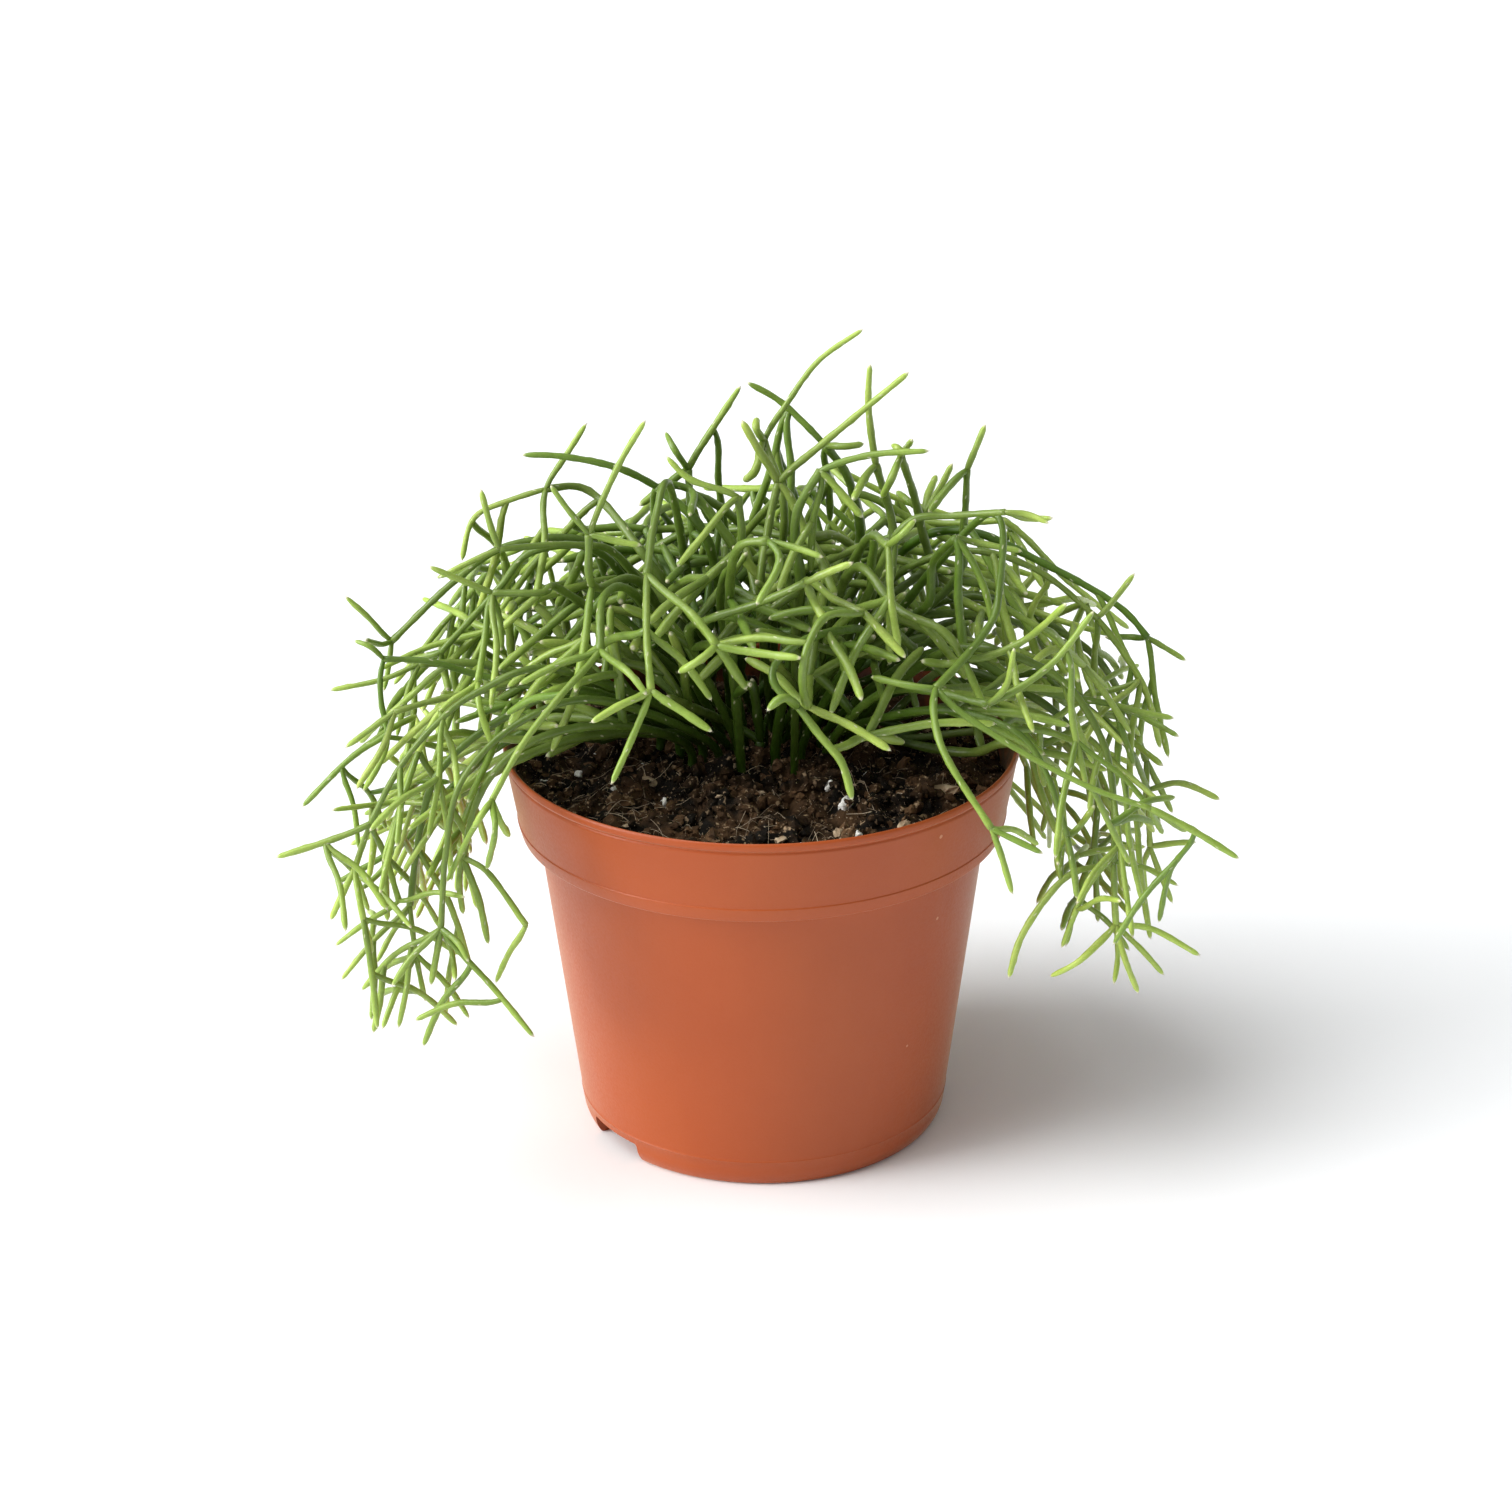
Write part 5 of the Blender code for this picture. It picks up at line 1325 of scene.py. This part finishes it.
class Look:
    """A material and the nodes that give it its colour and its bumps."""

    def __init__(self, name, roughness):
        self.material = bpy.data.materials.new(name)
        self.material.use_nodes = True
        self.tree = self.material.node_tree
        self.shader = self.tree.nodes["Principled BSDF"]
        self.shader.inputs["Roughness"].default_value = roughness
        self.place = self.node("ShaderNodeTexCoord").outputs["Object"]

    def put(self, node, inputs):
        """Gives the node's inputs numbers, colours or the outputs of other nodes."""
        for name, value in inputs.items():
            if isinstance(value, bpy.types.NodeSocket):
                self.tree.links.new(value, node.inputs[name])
            else:
                node.inputs[name].default_value = value
        return node

    def node(self, kind, inputs=None, **settings):
        """A new node with these settings and inputs."""
        made = self.tree.nodes.new(kind)
        for setting, value in settings.items():
            setattr(made, setting, value)
        return self.put(made, inputs or {})

    def noise(self, scale, detail=3.0, stretch=None):
        """Noise from 0 to 1, with this many waves to a metre."""
        place = self.place
        if stretch:
            place = self.node("ShaderNodeMapping", {"Vector": place, "Scale": stretch}).outputs["Vector"]
        made = self.node("ShaderNodeTexNoise", {"Vector": place, "Scale": scale, "Detail": detail})
        return made.outputs["Fac"]

    def ramp(self, value, low, high, floor=0.0, ceiling=1.0):
        """The value spread out from between low and high to between floor and ceiling, and held there."""
        limits = {"From Min": low, "From Max": high, "To Min": floor, "To Max": ceiling}
        return self.node("ShaderNodeMapRange", {"Value": value, **limits}).outputs["Result"]

    def reckoned(self, first, operation, second):
        """What the operation makes of two values."""
        return self.node("ShaderNodeMath", {0: first, 1: second}, operation=operation).outputs[0]

    def spread(self, name):
        """A value that the mesh carries at its vertices."""
        return self.node("ShaderNodeAttribute", attribute_name=name).outputs["Fac"]

    def mixed(self, share, first, second, kind="MIX"):
        """One colour passing into the other by the share."""
        first, second = [(*tint, 1) if isinstance(tint, tuple) else tint for tint in (first, second)]
        inputs = {"Factor": share, 6: first, 7: second}
        return self.node("ShaderNodeMix", inputs, data_type="RGBA", blend_type=kind).outputs[2]

    def layered(self, colour, *layers):
        """The colour with each layer's colour over it by the layer's share."""
        for share, tint, *kind in layers:
            colour = self.mixed(share, colour, tint, *kind)
        return colour

    def bump(self, *heights):
        """Lays bumps one on the other, each a height from 0 to 1 and how many metres that is."""
        normal = None
        for height, depth in heights:
            inputs = {"Height": height, "Distance": depth, "Strength": 1.0}
            if normal:
                inputs["Normal"] = normal
            normal = self.node("ShaderNodeBump", inputs).outputs["Normal"]
        self.put(self.shader, {"Normal": normal})


def stem_look():
    """Smooth waxy green stems: yellower and brighter where younger and out at the plant's outside, with
    painted shade inside it, and with pale tips and areoles.
    """
    look = Look("waxy stem", 0.45)
    mottle, fine, tone = look.noise(210, 4), look.noise(1900, 2), look.spread("tone")
    colour = look.layered(
        # Painted shade: the dark green stands for old stems and for the shade inside the plant, the yellow
        # green for younger stems at its outside.
        look.mixed(look.spread("young"), (0.019, 0.055, 0.001), (0.356, 0.494, 0.084)),
        (look.ramp(tone, 0.45, 1, 0, 0.6), (0.045, 0.125, 0.003)),
        (look.ramp(tone, 0.3, 0, 0, 0.5), (1.450, 1.250, 1.500), "MULTIPLY"),
        (look.ramp(mottle, 0.35, 0.75, 0, 0.7), (1.450, 1.350, 1.500), "MULTIPLY"),
        (look.ramp(fine, 0.55, 0.8, 0, 0.6), (1.500, 1.350, 1.900), "MULTIPLY"),
        (look.ramp(look.spread("areole"), 0.55, 0.75, 0, 0.75), (0.55, 0.56, 0.36)),
        (look.ramp(look.spread("pale"), 0.25, 0.85, 0, 0.9), (0.68, 0.64, 0.46)),
    )
    look.put(look.shader, {
        "Base Color": colour,
        "Roughness": look.ramp(mottle, 0.3, 0.7, 0.28, 0.44),
        "Specular IOR Level": 0.42,
        "Subsurface Weight": 0.18,
        "Subsurface Radius": (0.6, 1.0, 0.25),
        "Subsurface Scale": 0.0016,
    })
    look.bump((mottle, 0.00036), (fine, 0.00006))
    return look.material


def pot_look():
    """Satin terracotta plastic with flow marks, fine pits, scuffs, and peat that clings to its inner wall
    with painted shade.
    """
    look = Look("terracotta plastic", 0.42)
    cloud, flow, grain = look.noise(26), look.noise(55, stretch=(1.0, 1.0, 0.12)), look.noise(1500)
    specks = look.node("ShaderNodeTexVoronoi", {"Vector": look.place, "Scale": 150.0}).outputs
    dots = look.reckoned(specks["Distance"], "LESS_THAN", 0.075)
    chosen = look.node("ShaderNodeSeparateColor", {"Color": specks["Color"]}).outputs
    pale_dots = look.reckoned(dots, "MULTIPLY", look.reckoned(chosen["Red"], "GREATER_THAN", 0.90))
    dark_dots = look.reckoned(dots, "MULTIPLY", look.reckoned(chosen["Green"], "GREATER_THAN", 0.95))
    dust_and_shade_patches = look.ramp(look.noise(300, 4), 0.3, 0.55, 0.45, 0.95)
    colour = look.layered(
        look.mixed(look.ramp(cloud, 0.3, 0.7), (0.372, 0.061, 0.005), (0.398, 0.071, 0.008)),
        (look.ramp(flow, 0.45, 0.75, 0, 0.35), (0.415, 0.084, 0.012)),
        (look.reckoned(pale_dots, "MULTIPLY", 0.5), (0.76, 0.40, 0.24)),
        (look.reckoned(dark_dots, "MULTIPLY", 0.8), (0.16, 0.05, 0.025)),
        # Painted shade and peat that clings: dark reddish brown over the inner wall
        (look.reckoned(look.spread("dust_and_shade"), "MULTIPLY", dust_and_shade_patches), (0.060, 0.020, 0.009)),
    )
    look.put(look.shader, {
        "Base Color": colour,
        "Roughness": look.ramp(grain, 0.3, 0.7, 0.36, 0.50),
        "Specular IOR Level": 0.45,
        "Sheen Weight": 0.42,
        "Sheen Roughness": 0.3,
        "Sheen Tint": (1.0, 0.86, 0.62, 1.0),
    })
    look.bump((cloud, 0.0004), (flow, 0.00010), (grain, 0.00003), (pale_dots, 0.00008))
    return look.material


def peat_look():
    """Dark crumbly peat, between near black and reddish brown, with pale crumbs and glints."""
    look = Look("peat", 0.92)
    broad, crumb, glint = look.noise(130, 4), look.noise(620, 6), look.noise(1500)
    colour = look.layered(
        look.mixed(look.ramp(broad, 0.42, 0.62), (0.006, 0.004, 0.002), (0.080, 0.042, 0.019)),
        (look.ramp(look.spread("tone"), 0.6, 0.98, 0, 0.75), (0.190, 0.104, 0.050)),
        (look.ramp(crumb, 0.60, 0.68, 0, 0.75), (0.520, 0.365, 0.225)),
        (look.ramp(glint, 0.68, 0.72, 0, 0.8), (0.700, 0.560, 0.400)),
    )
    rough = look.ramp(crumb, 0.3, 0.7, 0.7, 0.98)
    look.put(look.shader, {"Base Color": colour, "Roughness": rough, "Specular IOR Level": 0.18})
    look.bump((broad, 0.0012), (crumb, 0.0007))
    return look.material


def fibre_look():
    """Brown and straw-coloured roots and strands."""
    look = Look("peat fibre", 0.8)
    colour = look.mixed(look.spread("tone"), (0.130, 0.078, 0.046), (0.620, 0.490, 0.340))
    streak = look.ramp(look.noise(900, 2), 0.4, 0.7, 0, 0.5)
    look.put(look.shader, {"Base Color": look.mixed(streak, colour, (0.700, 0.580, 0.440))})
    return look.material


def chip_look():
    """Brown bark with a paler grain."""
    look = Look("bark chip", 0.85)
    grain = look.noise(700, 5, (1.0, 0.35, 1.0))
    colour = look.mixed(look.spread("tone"), (0.140, 0.075, 0.040), (0.440, 0.310, 0.190))
    look.put(look.shader, {
        "Base Color": look.mixed(look.ramp(grain, 0.42, 0.62), colour, (0.600, 0.460, 0.310))})
    look.bump((grain, 0.0005))
    return look.material


def perlite_look():
    """White grains with warm pores."""
    look = Look("perlite", 0.8)
    pores = look.noise(1100, 4)
    colour = look.mixed(look.ramp(pores, 0.25, 0.5), (0.84, 0.80, 0.73), (0.98, 0.96, 0.91))
    look.put(look.shader, {"Base Color": colour})
    look.bump((pores, 0.0005))
    return look.material


def floor_look():
    """Plain white with the faintest clouds."""
    look = Look("white floor", 0.9)
    colour = look.mixed(look.noise(3, 2), (0.930, 0.946, 0.957), (0.940, 0.956, 0.967))
    look.put(look.shader, {"Base Color": colour, "Specular IOR Level": 0.1})
    return look.material


def add_light(name, bearing, height, breadth, strength):
    """A far light that shines towards the part, as broad as its shadows are soft."""
    lamp = bpy.data.lights.new(name, "SUN")
    lamp.energy = strength
    lamp.angle = math.radians(breadth)
    around, above = math.radians(bearing), math.radians(height)
    flat = math.cos(above)
    source = Vector((flat * math.cos(around), flat * math.sin(around), math.sin(above)))
    standing(name, lamp).rotation_euler = source.to_track_quat("Z", "Y").to_euler()


def make_stage():
    """A plain white floor, the lights and an even white surround."""
    patch = Patch()
    half = FLOOR_HALF
    patch.add([(-half, -half, 0), (half, -half, 0), (half, half, 0), (-half, half, 0)], [(0, 1, 2, 3)])
    patch.made("floor", floor_look())
    for name, light in LIGHTS.items():
        add_light(name, *light)
    world = bpy.data.worlds.new("surround")
    world.use_nodes = True
    sky = world.node_tree.nodes["Background"]
    sky.inputs["Color"].default_value = (1, 1, 1, 1)
    sky.inputs["Strength"].default_value = AMBIENT
    bpy.context.scene.world = world
    bpy.context.scene.view_settings.view_transform = "Standard"


def make_camera():
    """The eye of the reference view."""
    lens = bpy.data.cameras.new("camera")
    lens.sensor_width = SENSOR
    lens.lens = SENSOR * EYE_FOCAL / (2 * FRAME_CENTRE)
    lens.clip_start = NEAREST_SEEN
    lens.clip_end = FURTHEST_SEEN
    right, up = Vector((1, 0, 0)), Vector((0, math.sin(EYE_PITCH), math.cos(EYE_PITCH)))
    level = -EYE_ROLL
    across = right * math.cos(level) - up * math.sin(level)
    upward = up * math.cos(level) + right * math.sin(level)
    pose = Matrix((across, upward, across.cross(upward))).transposed().to_4x4()
    pose.translation = Vector(eye()) * MM
    camera = standing("camera", lens)
    camera.matrix_world = pose
    bpy.context.scene.camera = camera


def place_piece(piece, slot, *nodes):
    """Makes the piece ride on the part, and stand for its solids."""
    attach(piece, "root")
    if nodes:
        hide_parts(*nodes)


def build():
    """The camera, the stage and all pieces."""
    make_camera()
    make_stage()
    place_piece(make_pot(pot_look()), "pot_plastic", "pot")
    peat = peat_look()
    place_piece(make_peat(peat), "peat", "soil")
    place_piece(make_crumbs(peat), "peat")
    place_piece(make_fibres(fibre_look()), "peat")
    place_piece(make_chips(chip_look()), "peat")
    place_piece(make_perlite(perlite_look()), "peat")
    stems = stem_look()
    for name, limbs in grown_sprays().items():
        place_piece(make_stems(name, limbs, stems), "stem_green", name)


build()
